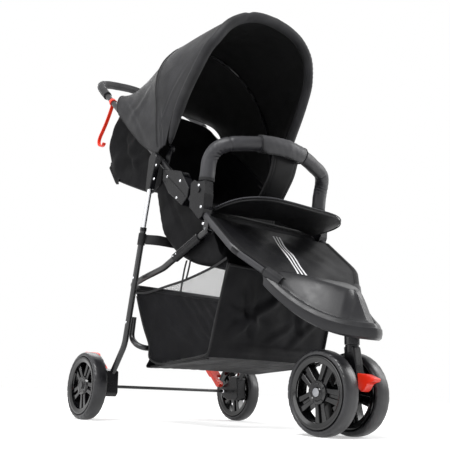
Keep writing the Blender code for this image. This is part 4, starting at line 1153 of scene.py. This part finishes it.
def make_canopy():
    """Outer cloth over both bays, a lining under it, and piping along seam and edges."""
    front, rib, rear = (mirrored(spline(edge, CANOPY_COLS)) for edge in (FRONT_EDGE, RIB_EDGE, REAR_EDGE))
    toward = (rib - front) / np.linalg.norm(rib - front, axis=1)[:, None]
    behind = np.interp(front[:, 2:], (690, 830), (1.0, 9.0))
    panel_a = canopy_panel(front + toward * behind, rib, 30, (9.0, 5.6), 2.0, 11, 0.0)
    panel_b = canopy_panel(rib, rear, 34, (5.6, 0.6), -1.5, 23, 24.0)
    grid = np.concatenate([panel_a, panel_b[1:]])
    shell = cloth("canopy_shell", grid, 1.4, CLOTH)
    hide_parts("canopy_fabric_front", "canopy_fabric_rear")
    canopy_blend(shell)
    inner = grid[1:-1] - outward(grid[1:-1]) * 2.6
    lining = cloth("canopy_lining", inner, 0.8, LINING)
    canopy_blend(lining)
    seam = panel_a[-1] + outward(panel_a[-1]) * 0.9
    canopy_blend(tube("canopy_rib_piping", seam[2:-2], 1.9, PIPING))
    stitch = panel_a[-3] + outward(panel_a[-3]) * 0.7
    canopy_blend(tube("canopy_rib_stitch", stitch[2:-2], 0.9, CLOTH))
    inside = panel_b[1] - outward(panel_b[1]) * 4.5
    canopy_blend(tube("canopy_inner_seam", inside[2:-2], 2.0, CLOTH))
    piping("canopy_hem", panel_b[-1][1:-1], 2.2, "push_frame")
    for name, column in (("left", 0), ("right", -1)):
        edge = np.concatenate([panel_a[:, column], panel_b[1:, column]])
        canopy_blend(tube(f"canopy_side_hem_{name}", edge[1:-1], 1.8, PIPING))


# %% [markdown]
# The rim is a foam-filled sleeve. It swells to 26 mm across, tapers into the pivot at each end, and
# its cloth gathers in short ripples on the far side and in one sharp crease near the top. These are
# changes of radius along a sweep, so they need no sculpting and keep their real size.

# %% Canopy rim
def angle_from(a, at):
    """Angle round a section measured from this one, between -pi and pi."""
    return (a - at + math.pi) % (2 * math.pi) - math.pi


RIM_R = 13.0


def make_canopy_rim():
    """Radius = taper + gathers + crease + seam, each a function of the share along and the angle."""
    path = mirrored(spline(RIM, 110))
    taper = np.interp(np.linspace(0, 1, 110), [0, 0.03, 0.09, 0.2, 1], [4.0, 7.5, 10.5, RIM_R, RIM_R])
    taper = np.concatenate([taper, taper[-2::-1]])

    def section(s, a):
        base = np.interp(s[:, 0], np.linspace(0, 1, len(taper)), taper)[:, None]
        gathers = 0.55 * np.sin(170 * math.pi * s + 2.0 * np.sin(11 * s)) * ridge(s - 0.33, 0.07)
        gathers = gathers * (1 + np.cos(a - 2.2))
        nip = -2.6 * ridge(s - 0.60 - 0.012 * np.cos(a), 0.008) * (1 + np.cos(angle_from(a, 3.4))) / 2
        seam = -0.9 * ridge(angle_from(a, 1.2), 0.09)
        return base * (1 + 0.014 * ripple(9 * s, a, 5)) + (gathers + nip + seam) * (base > 9)

    rim = swept("canopy_rim_pad", path, section, CLOTH, sharp=60)
    dress(rim, "canopy_front", "canopy_front_rim")


make_canopy()
make_canopy_rim()
print_size("canopy_shell", "canopy_rim_pad")

# %% [markdown]
# Behind the canopy a loose skirt of cloth runs from the push tubes down to the backrest. It bags
# out, folds on itself, and hangs in a pointed flap at each lower corner. It could be simulated, but
# its few large creases are what the eye knows it by, so they are drawn as ridges along slanting lines
# on a grid between the two sewn edges.

# %% Rear skirt
SKIRT_LOW = [
    (171.5, -182, 590), (170, -138, 577), (169, -96, 592), (168, 0, 632), (164, 58, 657), (158, 92, 672),
    (146, 124, 694), (118, 142, 712), (60, 146, 716), (0, 146, 716),
]
SKIRT_TOP = [
    (172.4, -188, 662), (173, -150, 697), (173, -100, 742), (173, 0, 831), (172.5, 46, 872),
    (170, 66, 896), (162, 82, 919), (145, 98, 935), (105, 112, 945), (60, 121, 950), (0, 124, 951),
]
SKIRT_FOLDS = [
    (7, 0.30, 0.95, 0.52, 0.25, 0.045), (6, 0.42, 0.90, 0.60, 0.10, 0.04),
    (-6, 0.36, 0.20, 0.56, 0.70, 0.05), (5, 0.16, 0.80, 0.40, 0.30, 0.04),
    (6, 0.60, 0.9, 0.72, 0.2, 0.05), (-5, 0.50, 0.95, 0.66, 0.5, 0.04),
]


def make_skirt():
    """The skirt bags out most half way up its rear part, and creases cross it."""
    low, top = mirrored(spline(SKIRT_LOW, 110)), mirrored(spline(SKIRT_TOP, 110))
    t = np.linspace(0, 1, 56)[:, None]
    s = np.linspace(-1, 1, len(low))[None, :]
    grid = low[None] * (1 - t[..., None]) + top[None] * t[..., None]
    away = grid - (0.0, -20.0, 760.0)
    away[..., 2] = 0
    away /= np.linalg.norm(away, axis=2)[..., None]
    rear = smoothstep((grid[..., 1] - 20) / 90)
    side = smoothstep((grid[..., 1] + 140) / 120)
    bag = 27 * np.sin(math.pi * t**0.85) * rear
    crumple = creases(1 - np.abs(s), t, SKIRT_FOLDS) + 2.0 * ripple(16 * s, 5 * t, 4, low=0.8, high=2.0)
    grid = grid + away * (bag + crumple * np.sin(math.pi * t) ** 0.6 * side - 0.8)[..., None]
    # The skirt cloth's dark colour is painted shade.
    skirt = cloth("rear_skirt", grid, 1.0, SKIRT_CLOTH_PAINTED_SHADE)
    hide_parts("back_gusset")
    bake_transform(skirt)
    binding = tube("skirt_binding", grid[0][2:-2] + (0, 0, 0.5), 1.8, PIPING)
    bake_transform(binding)
    for name, way in SIDES:
        flap_top = spline([(way * 160, 60, 690), (way * 160, 104, 722), (way * 150, 148, 748)], 24)
        flap_low = spline([(way * 163, 66, 652), (way * 158, 96, 664), (way * 150, 160, 727)], 24)
        v = np.linspace(0, 1, 16)[:, None, None]
        flap = flap_top[None] * (1 - v) + flap_low[None] * v
        flap[..., 0] += way * (3 + 3.0 * np.sin(math.pi * v[..., 0]) + 1.5 * np.sin(9 * v[..., 0]))
        dress(cloth(f"skirt_flap_{name}", flap, 1.2, SKIRT_CLOTH_PAINTED_SHADE), "chassis")


# %% [markdown]
# The backrest is a stiff board in a padded cover, quilted by two lengthways seams and three short
# cross seams, with piping round its edge. Each seam is a narrow dip in the sheet's height and each
# field between them a low crown, which is how stitching pulls down wadding.

# %% Backrest
BOARD = [(-145.8, 579.2), (-100, 598), (0, 636), (84, 671), (106, 686), (114, 704)]


def make_backrest():
    """Height = crown of each quilt field - dips at the seams; thickness falls toward the sides."""
    line = spline(BOARD, 60)
    x = np.linspace(-1, 1, 61)
    along = np.linspace(0, 1, 60)[:, None]
    lift = 2.5 * np.abs(np.cos(along * math.pi * 4)) ** 0.5 * (1 - x[None] ** 4)
    quilt = -2.6 * ridge(np.abs(x) - 0.45, 0.02)[None] * (along > 0.08) * (along < 0.94)
    cross = -2.4 * sum(ridge(along - k / 4, 0.012) for k in range(1, 4)) * (np.abs(x) < 0.45)[None]
    dz = 3 * x[None] ** 2 + lift + quilt + cross - 1.0
    grid = np.stack([155 * x[None] + 0 * along, line[:, :1] + 0 * x[None], line[:, 1:] + dz], 2)
    thick = 11 * (1 - 0.45 * np.abs(x[None]) ** 5) * np.minimum(1, 8 * np.minimum(along, 1 - along) + 0.5)
    pad = cloth("backrest_pad", grid, thick, SEAT_CLOTH)
    dress(pad, "backrest", "backrest_panel")
    rim = np.vstack([grid[:, 0], grid[-1, 1:], grid[-2::-1, -1]])
    piping("backrest_piping", rim[2:-2], 1.9, "backrest")


make_skirt()
make_backrest()
print_size("rear_skirt", "backrest_pad")

# %% [markdown]
# The seat is a sewn bucket: a quilted base, a rounded back edge and two side wings up to the tubes.
# Solidify could thicken one sheet, but the real seat is thick in the base and thin in the wings. So
# its upper and lower faces are two grids over the same rows, joined round the edge.

# %% Seat bucket
SEAT_TOP = [
    (-396, 470), (-384, 461), (-340, 446), (-280, 437), (-225, 439), (-192, 462), (-172, 510), (-158, 560)
]
SEAT_LOW = [
    (-452, 352), (-440, 337), (-380, 348), (-311, 367), (-251, 400), (-205, 441), (-190, 460),
    (-165, 530), (-149, 582),
]
SEAT_SIDE = [(-398, 463), (-370, 488), (-315, 537), (-250, 595), (-165, 668)]


def seat_rows(line, count, upper):
    """Rows across the seat from its front edge to the back, bending up into the side wings."""
    rows = []
    for t, s in zip(spline(line, count), spline(SEAT_SIDE, count), strict=True):
        if upper:
            half = [(0, *t), (60, *t), (115, t[0], t[1] + 1), (148, t[0], t[1] + 5)]
            half += [(161, *(0.75 * t + 0.25 * s)), (165, *(0.4 * t + 0.6 * s)), (166.5, *s)]
        else:
            half = [(0, *t), (60, *t), (120, t[0], t[1] + 1), (160, t[0], t[1] + 5)]
            half += [(169.5, *(0.8 * t + 0.2 * s)), (169.8, *(0.4 * t + 0.6 * s)), (169.8, *s)]
        rows.append(mirrored(spline(half[::-1], 40)))
    return np.array(rows)


def make_seat():
    """Upper face raised between seams, lower face slightly uneven, joined round the edge."""
    top, low = seat_rows(SEAT_TOP, 60, True), seat_rows(SEAT_LOW, 60, False)
    rows, cols = top.shape[:2]
    t, u = np.linspace(0, 1, rows)[:, None], np.linspace(-1, 1, cols)[None, :]
    base = np.abs(top[..., 0]) < 118
    up = normals_of(top)
    up *= np.sign(up[..., 2:] + 1e-6)
    crown = 3.0 * np.abs(np.cos(4.5 * math.pi * t)) ** 0.5 * base
    from_seam = (t * 4.5 + 0.5) % 1 - 0.5
    seams = -2.6 * ridge(np.abs(top[..., 0]) - 118, 3.5) - 2.0 * ridge(from_seam, 0.045) * base
    top = top + up * (crown + seams + 0.8 * ripple(4 * u, 3 * t, 8) - 1.2)[..., None]
    out = normals_of(low)
    out *= np.sign(((low - top) * out).sum(2) + 1e-6)[..., None]
    wing = 2.4 * creases(np.abs(u), t, [(1, 0.62, 0.1, 0.86, 0.7, 0.03), (-1, 0.7, 0.35, 0.9, 0.9, 0.03)])
    low = low + out * (1.2 * ripple(7 * u, 5 * t, 14) * (1 - t) + wing - 1.0)[..., None]
    seat = two_faced("seat_bucket", top, low, SEAT_CLOTH, sharp=70)
    dress(seat, "chassis", "seat_panel")
    for name, column in (("left", 0), ("right", -1)):
        piping(f"seat_side_piping_{name}", top[:, column] + (0, 0, 1.0), 2.2)
    piping("seat_front_piping", top[0][6:-6] + (0, 1.5, 1.2), 2.0)


# %% [markdown]
# A five-strap harness lies slack in the seat, with a plain buckle. The photograph hides most of it,
# so it follows what such seats have. Straps are narrow sheets along a spline, square to one direction.

# %% Harness
def strap(name, line, half_width, up, material, thickness=1.5):
    """A flat strap along the line, lying square to the up direction."""
    line = np.asarray(line, float)
    across = np.cross(np.gradient(line, axis=0), np.asarray(up, float))
    across /= np.linalg.norm(across, axis=1)[:, None]
    grid = line[:, None] + across[:, None] * np.linspace(-half_width, half_width, 7)[None, :, None]
    return cloth(name, grid, thickness, material)


WING_SEAM = [(154, -365, 486), (157, -318, 520), (158, -262, 566), (157, -212, 618)]
LAP_BELT = [(150, -212, 470), (112, -226, 452), (70, -262, 446), (34, -300, 446), (16, -322, 449)]
SHOULDER_BELT = [(62, -166, 548), (60, -178, 512), (52, -206, 474), (38, -262, 456), (20, -312, 451)]
BUCKLE = [(-342, 440), (-336, 461), (-310, 461), (-304, 440)]


def make_harness():
    """Wing seams, lap and shoulder belts, and the buckle."""
    for name, side in SIDES:
        piping(f"seat_wing_seam_{name}", flip(spline(WING_SEAM, 30), side), 1.4)
        lap, shoulder = flip(spline(LAP_BELT, 40), side), flip(spline(SHOULDER_BELT, 44), side)
        dress(strap(f"lap_belt_{name}", lap, 12.5, (0, 0.15, 1), WEBBING), "chassis")
        dress(strap(f"shoulder_belt_{name}", shoulder, 12.5, (0, -0.75, 0.65), WEBBING), "chassis")
    dress(slab("harness_buckle", BUCKLE, -17, 17, DARK_PLASTIC, 3.0, 4), "chassis")
    dress(dome("buckle_button", (0, -323, 460.6), (0, 0, 1), 7.5, 2.4, RED), "chassis")


make_seat()
make_harness()
print_size("seat_bucket", "harness_buckle")

# %% [markdown]
# Bumper bar: foam in a coated cover on a bent core. The cover wrinkles inside each bend, where it is
# pushed together, and has a ring seam above it. A second cover wraps the middle, closed by a seam
# underneath whose flap stands down like a tear. A displaced tube would wrinkle all over, so the
# wrinkles are a wave in the radius, held to the inside of the bend by a bell curve.

# %% Bumper bar
BUMPER = [
    (179, -397, 541), (179, -404, 588), (172, -418, 614), (150, -436, 628), (110, -449, 637),
    (60, -462, 645), (0, -468, 649),
]
PAD_R = 17.5
COVER_FROM, COVER_TO = -78.0, 58.0
SEAM_AT = 4.45


def bumper_section(s, a):
    """Radius of the padded bar: base, soft waves, wrinkles inside the bends, seams."""
    near = np.minimum(s, 1 - s)
    inside = (0.5 + 0.5 * np.cos(a - 3 * math.pi / 2)) ** 1.5
    wrinkle = 0.95 * np.sin(300 * near + 2.6 * np.sin(2 * a)) * ridge(near - 0.135, 0.05) * inside
    seam = -1.8 * ridge(near - 0.215, 0.0035) - 0.5 * ridge(angle_from(a, 4.4), 0.06)
    return PAD_R + 0.4 * ripple(14 * s, 2 * a, 9) + wrinkle + seam - 2.0 * ridge(near, 0.008)


def cover_section(s, a):
    """Radius of the middle cover: a round top and a pinched seam flap below."""
    end = np.minimum(s, 1 - s)
    lobe, crest = ridge(angle_from(a, SEAM_AT), 0.5), ridge(angle_from(a, SEAM_AT), 0.14)
    corner = smoothstep(end / 0.14)
    flap = (3.2 * lobe + 6.0 * crest) * corner
    return 20.2 + 0.9 * smoothstep(end / 0.06) + flap + 0.6 * ripple(7 * s, 2 * a, 31)


def make_bumper():
    """Padded bar, its end tongues and collars, and the middle cover with piping on seam and ends."""
    path = mirrored(spline(BUMPER, 110))
    bar = swept("bumper_padding", path, bumper_section, PAD, sharp=60)
    dress(bar, "bumper", "bumper_pad")
    tongue = np.array((0, -0.14, 0.99))
    for name, side in SIDES:
        end = np.array((side * 179.0, -397.0, 541.0))
        stem = rod(f"bumper_tongue_{name}", end - tongue * 24, end + tongue * 6, 6.8, DARK_PLASTIC)
        dress(stem, "bumper")
        collar = rod(f"bumper_collar_{name}", end + tongue * 0.2, end + tongue * 7, PAD_R + 0.6, PIPING)
        dress(collar, "bumper", slot="pad_leather")

    middle = resample(path[(path[:, 0] > COVER_FROM) & (path[:, 0] < COVER_TO)], 70)
    cover = swept("bumper_cover_skin", middle, cover_section, PAD, sharp=60)
    dress(cover, "bumper", "bumper_cover")
    _, across, above = carried_frames(middle)
    a = np.linspace(0, 2 * math.pi, 60)
    for name, index in (("left", 1), ("right", -2)):
        r = cover_section(np.array([[0.017]]), a[None])[0] + 0.5
        around = np.cos(a)[:, None] * across[index] + np.sin(a)[:, None] * above[index]
        loop = middle[index] + r[:, None] * around
        piping(f"cover_piping_{name}", loop, 1.1, "bumper", slot="pad_leather")
    s = np.linspace(0, 1, len(middle))
    r = cover_section(s[:, None], np.array([[SEAM_AT]]))[:, 0:1] + 0.3
    seam = middle + r * (math.cos(SEAM_AT) * across + math.sin(SEAM_AT) * above)
    piping("cover_seam_piping", seam[2:-2], 1.3, "bumper", slot="pad_leather")


# %% [markdown]
# The strap between the legs is a soft flat pad, thickest along its middle, with a line of stitching
# 8 mm in from each bound edge. It is one sheet whose thickness changes across its width, which keeps
# both faces smooth where a box with many edge loops would have to be pushed about.

# %% Crotch strap
STRAP = [(-466, 624.6), (-453, 585), (-424, 545), (-395, 512), (-383, 486), (-381, 470)]
STRAP_HALF = 39.0


def make_crotch_strap():
    """Thickness = a flat dome across the width - a dip along each stitched line."""
    line = spline(STRAP, 70)
    u = np.linspace(-1, 1, 57)
    t = np.linspace(0, 1, 70)[:, None]
    x = STRAP_HALF * u[None] * (1 - 0.1 * np.sin(math.pi * t)) + 0 * t
    grid = np.stack([x, line[:, :1] + 0 * x, line[:, 1:] + 0 * x], 2)
    thick = 3.2 + 7.6 * (1 - np.abs(u) ** 5)[None] + 0.8 * ripple(0.5 * u[None], 1.5 * t, 41)
    thick = thick - 2.6 * ridge(np.abs(u) - 0.78, 0.035)[None]
    thick = thick * np.minimum(1, 0.35 + 9 * np.minimum(t, 1 - t))
    # The strap's dark cover colour is painted shade.
    pad = cloth("crotch_strap_pad", grid, thick, PAD_DULL_PAINTED_SHADE, sharp=70)
    dress(pad, "bumper", "crotch_strap")
    for name, column in (("right", 0), ("left", -1)):
        piping(f"strap_binding_{name}", grid[1:-1, column], 2.2, "bumper", slot="pad_leather")


make_bumper()
make_crotch_strap()
print_size("bumper_padding", "bumper_cover_skin", "crotch_strap_pad")

# %% [markdown]
# The calf rest is a stiff flat pad, crowned on top and nearly flat below, with grey piping round it.
# It could be a bevelled slab, but its edge is an uneven round. So it is built in rings: the plan
# outline drawn in toward the middle, each ring a little higher.

# %% Calf rest
CALF_EDGE = [
    (0, -540), (50, -540), (96, -536), (128, -521), (150, -497), (160, -467), (162, -434), (160, -398.9)
]
CALF_RISE = 0.055
CALF_BACK = (-396.7, 470.6)
CALF_RINGS = [
    (0.02, 12.6), (0.2, 12.6), (0.45, 12.4), (0.65, 12.0), (0.8, 11.4), (0.9, 10.6), (0.96, 9.8),
    (0.985, 8.6), (1.0, 5.5), (0.985, 2.4), (0.96, 1.2), (0.9, 0.4), (0.8, 0.0), (0.65, -0.2),
    (0.45, -0.4), (0.2, -0.4), (0.02, -0.4),
]


def calf_low_z(y):
    """Height of the pad's underside, which rises a little toward the front."""
    return CALF_BACK[1] + (CALF_BACK[0] - y) * CALF_RISE


def make_calf_rest():
    """Rings of the plan outline from the middle of the top, over the edge, to the middle below."""
    half = spline(CALF_EDGE, 60)
    edge = np.vstack([half[::-1] * (-1, 1), half[1:]])
    middle = np.array((0.0, -440.0))
    rings = []
    for share, z in CALF_RINGS:
        p = middle + (edge - middle) * share
        rings.append(np.column_stack([p, calf_low_z(p[:, 1]) + z]))
    # The calf pad's dark cover colour is painted shade.
    pad = surface("calf_pad", rings, PAD_DULL_PAINTED_SHADE, sharp=60)
    dress(pad, "calf_support", "calf_rest")
    rim = np.column_stack([edge, calf_low_z(edge[:, 1]) + 8.6])
    dress(tube("calf_piping", rim + (0, -0.8, 0), 1.4, PIPING_GREY), "calf_support")
    piping("calf_low_piping", rim - (0, 0, 6.4), 1.4, "calf_support", slot="pad_leather")
    back = [(x, -398.4, 475.0) for x in np.linspace(-158, 158, 20)]
    piping("calf_back_binding", back, 3.0, "calf_support", slot="pad_leather")


make_calf_rest()
print_size("calf_pad")

# %% [markdown]
# Leg cloth: pulled tight between the front tubes and down to the footrest, a few millimetres below
# the tubes' tops so the tubes stand proud. Each row runs over a tube, dips to the middle and comes
# back, as cloth does that is sewn round both tubes. Rows worked out one by one let it follow the
# tubes exactly, which a flat plane shrunk onto them would not.

# %% Leg cloth
TUBE_LINE = front_tube_line(1, 60.0)
APRON_UP = np.array((0, -0.69, 0.724))
APRON_YS = [
    (-421, -411), (-421.5, -413.5), (-422, -416), *((y, y) for y in np.linspace(-423, -560, 52)),
    *((-560 - 9 * k / 8, -560 - 32 * k / 8) for k in range(1, 9)),
]


def on_front_tube(y):
    """Point and direction of the front tube's axis at this y."""
    at = [[np.interp(-v, -TUBE_LINE[:, 1], TUBE_LINE[:, k]) for k in range(3)] for v in (y + 3, y, y - 3)]
    along = np.array(at[2]) - at[0]
    return np.array(at[1]), along / np.linalg.norm(along)


def apron_row(y, mid_y):
    """One line of cloth from tube to tube, over both tubes' tops, at this y on the tubes."""
    centre, tangent = on_front_tube(y)
    normal = APRON_UP - tangent * (APRON_UP @ tangent)
    normal /= np.linalg.norm(normal)
    out = np.cross(normal, tangent)
    out *= math.copysign(1, out[0])
    turn = np.radians(np.linspace(58, 128, 14))
    wrap = centre + (FRONT_R + 1.3) * (np.cos(turn)[:, None] * out + np.sin(turn)[:, None] * normal)
    middle = on_front_tube(mid_y)[0] + 5.0 * normal
    f = np.linspace(1, 0, 42)[2:, None]
    flat = wrap[-1] * (1, 0, 0) * f + middle * (0, 1, 1) * (1 - f**3) + wrap[-1] * (0, 1, 1) * f**3
    return mirrored(np.vstack([wrap, flat - APRON_UP * 4.0 * (1 - f * f)]))


def make_apron():
    """Rows down the tubes, with a slight swell where the cloth is free."""
    grid = np.array([apron_row(y, mid_y) for y, mid_y in APRON_YS])
    t, u = np.linspace(0, 1, grid.shape[0])[:, None], grid[..., 0] / 190
    open_part = smoothstep((1 - np.abs(u) * 1.3) * 4) * smoothstep((1 - t) * 6)
    corner = creases(np.abs(u), t, [(1, 0.2, 0.85, 0.7, 0.98, 0.03)])
    swell = 1.8 * ripple(3 * u, 4 * t, 17) + 2.0 * corner
    grid = grid + (swell * open_part)[..., None] * APRON_UP
    apron = cloth("leg_cloth_panel", grid, 1.4, APRON_CLOTH)
    dress(apron, "chassis", "leg_apron")
    piping("leg_cloth_hem", grid[-1][2:-2], 1.7)
    for name, columns in (("left", 13), ("right", -14)):
        line = grid[2:, columns] + APRON_UP * 0.6
        piping(f"leg_cloth_seam_{name}", line, 1.2)
    make_braids(grid)


# %% [markdown]
# Three narrow white braids are sewn along the leg cloth. Painted stripes would follow the cloth's
# relief too, but real braid stands up half a millimetre and catches a line of light at its edge.

# %% Sewn braids
BRAID_HALF, BRAID_STEP = 1.9, 8.9


def on_apron(row, x):
    """A point on this row of the leg cloth at this x."""
    flat = row[14:-14]
    order = np.argsort(flat[:, 0])
    return np.array([np.interp(x, flat[order, 0], flat[order, k]) for k in range(3)])


def make_braids(grid):
    """Each braid follows one waving line down the cloth and widens toward the camera's end."""
    for k in range(3):
        line = []
        for row in grid[7:-2]:
            share = np.clip((row[:, 1].mean() + 430) / -150, 0, 1)
            x = 12 - 38 * share**1.2 - k * BRAID_STEP * (1 + 0.36 * share) - 3.2 * math.sin(share * 6.0)
            half = BRAID_HALF * (1 + 0.25 * share)
            line.append([on_apron(row, x + w * half) + APRON_UP * 1.2 for w in (-1, 0, 1)])
        dress(cloth(f"sewn_braid_{k}", np.array(line), 0.5, STRIPE), "chassis")


make_apron()
print_size("leg_cloth_panel", "sewn_braid_0")

# %% [markdown]
# Basket: solid cloth behind, under and in front, with net on both sides so the parent can see in.
# The front sags in long diagonal folds between its upper corners and the floor. One strip runs the
# whole way round, as it is cut in the factory, and the folds are added only where it is a wall.

# %% Basket panels
BASKET = [
    (-83, 324.6), (-106, 283), (-132, 238), (-163, 190), (-174, 152), (-162, 130), (-230, 133),
    (-320, 140), (-404, 148), (-414, 156), (-436, 230), (-462, 300), (-478, 338),
]
RIM_LINE = [(-92, 317), (-151, 312), (-244, 318), (-324, 324), (-423, 339), (-474, 352)]
FOOT_LINE = [
    (-92, 308), (-112, 270), (-138, 226), (-169, 182), (-176, 150), (-230, 136), (-320, 143), (-404, 152),
    (-420, 166), (-444, 245), (-474, 342),
]
FRONT_FOLDS = [
    (9, -0.85, 0.10, 0.15, 0.85, 0.06), (6, -0.95, 0.55, -0.1, 0.3, 0.05),
    (-6, -0.7, 0.95, -0.35, 0.1, 0.06), (6, 0.25, 0.05, 0.9, 0.6, 0.06), (5, -0.2, 0.1, 0.4, 0.4, 0.05),
    (-5, 0.2, 0.9, 0.5, 0.2, 0.06), (7, -0.9, 0.04, 0.9, 0.04, 0.04),
]


def make_basket():
    """One panel from the rear edge, under the floor board and up the front, with folds by zone."""
    line = spline(BASKET, 170)
    t, u = np.linspace(0, 1, len(line))[:, None], np.linspace(-1, 1, 121)[None, :]
    grid = np.stack([167 * u + 0 * t, line[:, :1] + 0 * u, line[:, 1:] + 0 * u], 2)
    out = normals_of(grid)
    out *= np.sign(((grid - (0, -290, 240)) * out).sum(2) + 1e-6)[..., None]
    wall = smoothstep((t - 0.70) / 0.04)
    rear = smoothstep((0.24 - t) / 0.06)
    floor = (1 - wall) * (1 - rear)
    up_wall = np.clip((t - 0.72) / 0.28, 0, 1)
    front = creases(u, up_wall, FRONT_FOLDS) + 1.8 * ripple(4 * u, 5 * up_wall, 51, low=1, high=3)
    sag = 2.5 * (1 - u**2) + 0.5 * ripple(9 * u, 9 * t, 54)
    folds = wall * front + rear * 2.0 * ripple(6 * u, 8 * t, 53) - floor * sag
    grid = grid + out * (folds * (1 - u**8) * np.minimum(1, 10 * (1 - t)))[..., None]
    body = cloth("basket_cloth_panel", grid, 2.0, BASKET_CLOTH)
    dress(body, "chassis", "basket_body")
    for name, end in (("rear", 0), ("front", -1)):
        piping(f"basket_{name}_hem", grid[end], 3.0)
    start = int(0.70 * len(line))
    for name, column in (("right", 0), ("left", -1)):
        piping(f"basket_corner_{name}", grid[start:, column], 2.0)


# %% [markdown]
# The net hangs between the rim strap and the floor's edge, slack in the middle of its height. Thin
# straps tie the rim to the seat. The net is a real thin sheet, so it also shows edge-on.

# %% Basket sides
def make_basket_side(name, side):
    """Net between the rim strap and the floor's edge, slack in the middle of its height."""
    rim, foot = spline(RIM_LINE, 120), spline(FOOT_LINE, 120)
    t, s = np.linspace(0, 1, 60)[:, None], np.linspace(0, 1, 120)[None, :]
    yz = rim[None] * (1 - t[..., None]) + foot[None] * t[..., None]
    slack = (3 + 2.2 * ripple(7 * s + 3 * t, 4 * t, 61, low=1, high=3)) * np.sin(math.pi * t)
    x = side * (167.2 + slack * (1 - s**10))
    net = cloth(f"basket_net_{name}", np.concatenate([x[..., None], yz], 2), 0.5, NET)
    dress(net, "chassis", f"basket_mesh_{name}")
    foot_seam = np.column_stack([np.full(120, side * 168.0), foot])
    piping(f"basket_foot_seam_{name}", foot_seam, 2.4)
    band = np.array([[(side * 171.4, y, z + d) for d in np.linspace(-2.8, 2.8, 5)] for y, z in rim])
    dress(cloth(f"basket_rim_strap_{name}", band, 1.6, WEBBING), "chassis", f"basket_rim_{name}")
    for k, (y_top, y_low, z_low) in enumerate(((-312, -304, 296), (-328, -324, 322))):
        middle = (side * 171, (y_top + y_low) / 2 - 3, 346)
        hang = spline([(side * 166, y_top, 371), middle, (side * 173.4, y_low, z_low)], 24)
        dress(strap(f"basket_hanger_{name}_{k}", hang, 3.0, (side, 0, 0.1), WEBBING, 1.2), "chassis")
    edge = [(side * 160, y, z) for y, z in ((-172, 130.5), (-404, 146.0))]
    piping(f"basket_floor_piping_{name}", resample(edge, 20), 3.0)


make_basket()
for _name, _side in SIDES:
    make_basket_side(_name, _side)
print_size("basket_cloth_panel", "basket_net_left")


# %% [markdown]
# A webbing band crosses behind the seat and loops round both rear legs. The carry hook is a flat
# plastic strap on a clip round the push tube, with a small open hook at its end. Both are strips
# along a line, the cheapest true shape for them.

# %% Support band and carry hook
def make_band():
    """A band of cloth with a slight sag, and a loop of it on each leg."""
    line = resample(mirrored(bent([(196.6, -165, 0), (164, -180, 0), (0, -180, 0)], [30])), 90)
    z, u = np.linspace(429, 454, 9)[None, :], np.linspace(-1, 1, 90)[:, None]
    sag = 2.0 * ripple(5 * u, z / 40, 71)
    grid = np.stack([line[:, :1] + 0 * z, line[:, 1:2] + sag, z + 0 * u], 2)
    dress(cloth("support_band_cloth", grid, 2.0, WEBBING), "rear_frame", "back_support_band")
    for name, side in SIDES:
        low, high = flip([on_leg(427), on_leg(456)], side)
        dress(rod(f"band_loop_{name}", low, high, 9.6, WEBBING), "rear_frame")


HOOK = [
    (119, 916), (134, 892), (152, 868), (172, 847), (186, 833), (192, 820), (187, 806), (174, 798),
    (161, 797), (153, 803),
]


def make_hook():
    """A strip across x along the hook's line, and the clip on the tube."""
    line = np.array([(-183.0, y, z) for y, z in spline(HOOK, 60)])
    grid = line[:, None] + np.array([(x, 0, 0) for x in np.linspace(-5, 5, 5)])[None]
    dress(cloth("carry_hook", grid, 3.6, RED), "hook", "transport_hook")
    clip = [(-183.0, *on_push(573)), (-183.0, *on_push(584))]
    dress(rod("carry_hook_clip", *clip, 11.6, RED), "hook")


make_band()
make_hook()
print_size("support_band_cloth", "carry_hook")

# %% [markdown]
# Rivets, bolts and screws hold the folding frame, and the fold-joint covers have a raised ridge.
# Each head is a small dome of plated steel that catches a point of light. They are real domes and
# not painted dots, because their highlights tell the eye how big the joints are.

# %% Rivets and screws
def make_fasteners():
    """Heads and beads at the places measured on the object."""
    for name, side in SIDES:
        out = (side, 0, 0)
        for k, (y, z) in enumerate(((-252, 586), (-312, 560), (-300, 521))):
            dress(dome(f"cover_rivet_{name}_{k}", (side * 196.6, y, z), out, 3.6, 1.9, RIVET), "chassis")
        crest = spline([(-236, 602), (-262, 578), (-300, 547), (-336, 516)], 30)
        crest = [
            (side * (196.4 + 0.9 * math.sin(math.pi * k / 29)), y, z) for k, (y, z) in enumerate(crest)
        ]
        dress(tube(f"cover_ridge_{name}", crest, 1.5, DARK_PLASTIC), "chassis")
        for k, (y, z, x) in enumerate(((-391, 530, 196), (-403, 476, 196), (-408, 437, 191.4))):
            dress(dome(f"socket_rivet_{name}_{k}", (side * x, y, z), out, 3.8, 2.0, RIVET), "chassis")
        for k, (y, z) in enumerate(((-221, 621), (-214.7, 586))):
            head = dome(f"bracket_rivet_{name}_{k}", (side * 212.5, y, z), out, 3.4, 1.8, RIVET)
            dress(head, "rear_frame")
        for k, z in enumerate((345, 236)):
            x, y, _ = on_leg(z)
            screw = dome(f"leg_screw_{name}_{k}", (side * (x + LEG_R - 0.6), y, z), out, 3.2, 1.9, RIVET)
            dress(screw, "rear_frame")
        bolt = dome(f"housing_bolt_{name}", (side * 189.2, 0, WHEEL_R), (-side, 0, 0), 6.0, 2.4, RIVET)
        dress(bolt, "rear_frame")
        a, b = np.array(LINK_FRONT), np.array(LINK_BEND)
        along = (b - a) / np.linalg.norm(b - a)
        for k, share in enumerate((0.63, 0.69)):
            y, z = a + (b - a) * share
            dress(dome(f"rail_screw_{name}_{k}", (side * 192.2, y, z), out, 2.2, 1.2, RIVET), "link")
        for k, across in enumerate((-3.2, 3.2)):
            over = np.array((-along[1], along[0])) * across
            bead = [(side * 192.0, *(a + (b - a) * share + over)) for share in (0.2, 0.6)]
            dress(tube(f"rail_bead_{name}_{k}", resample(bead, 12), 0.9, DARK_PLASTIC), "link")


make_fasteners()
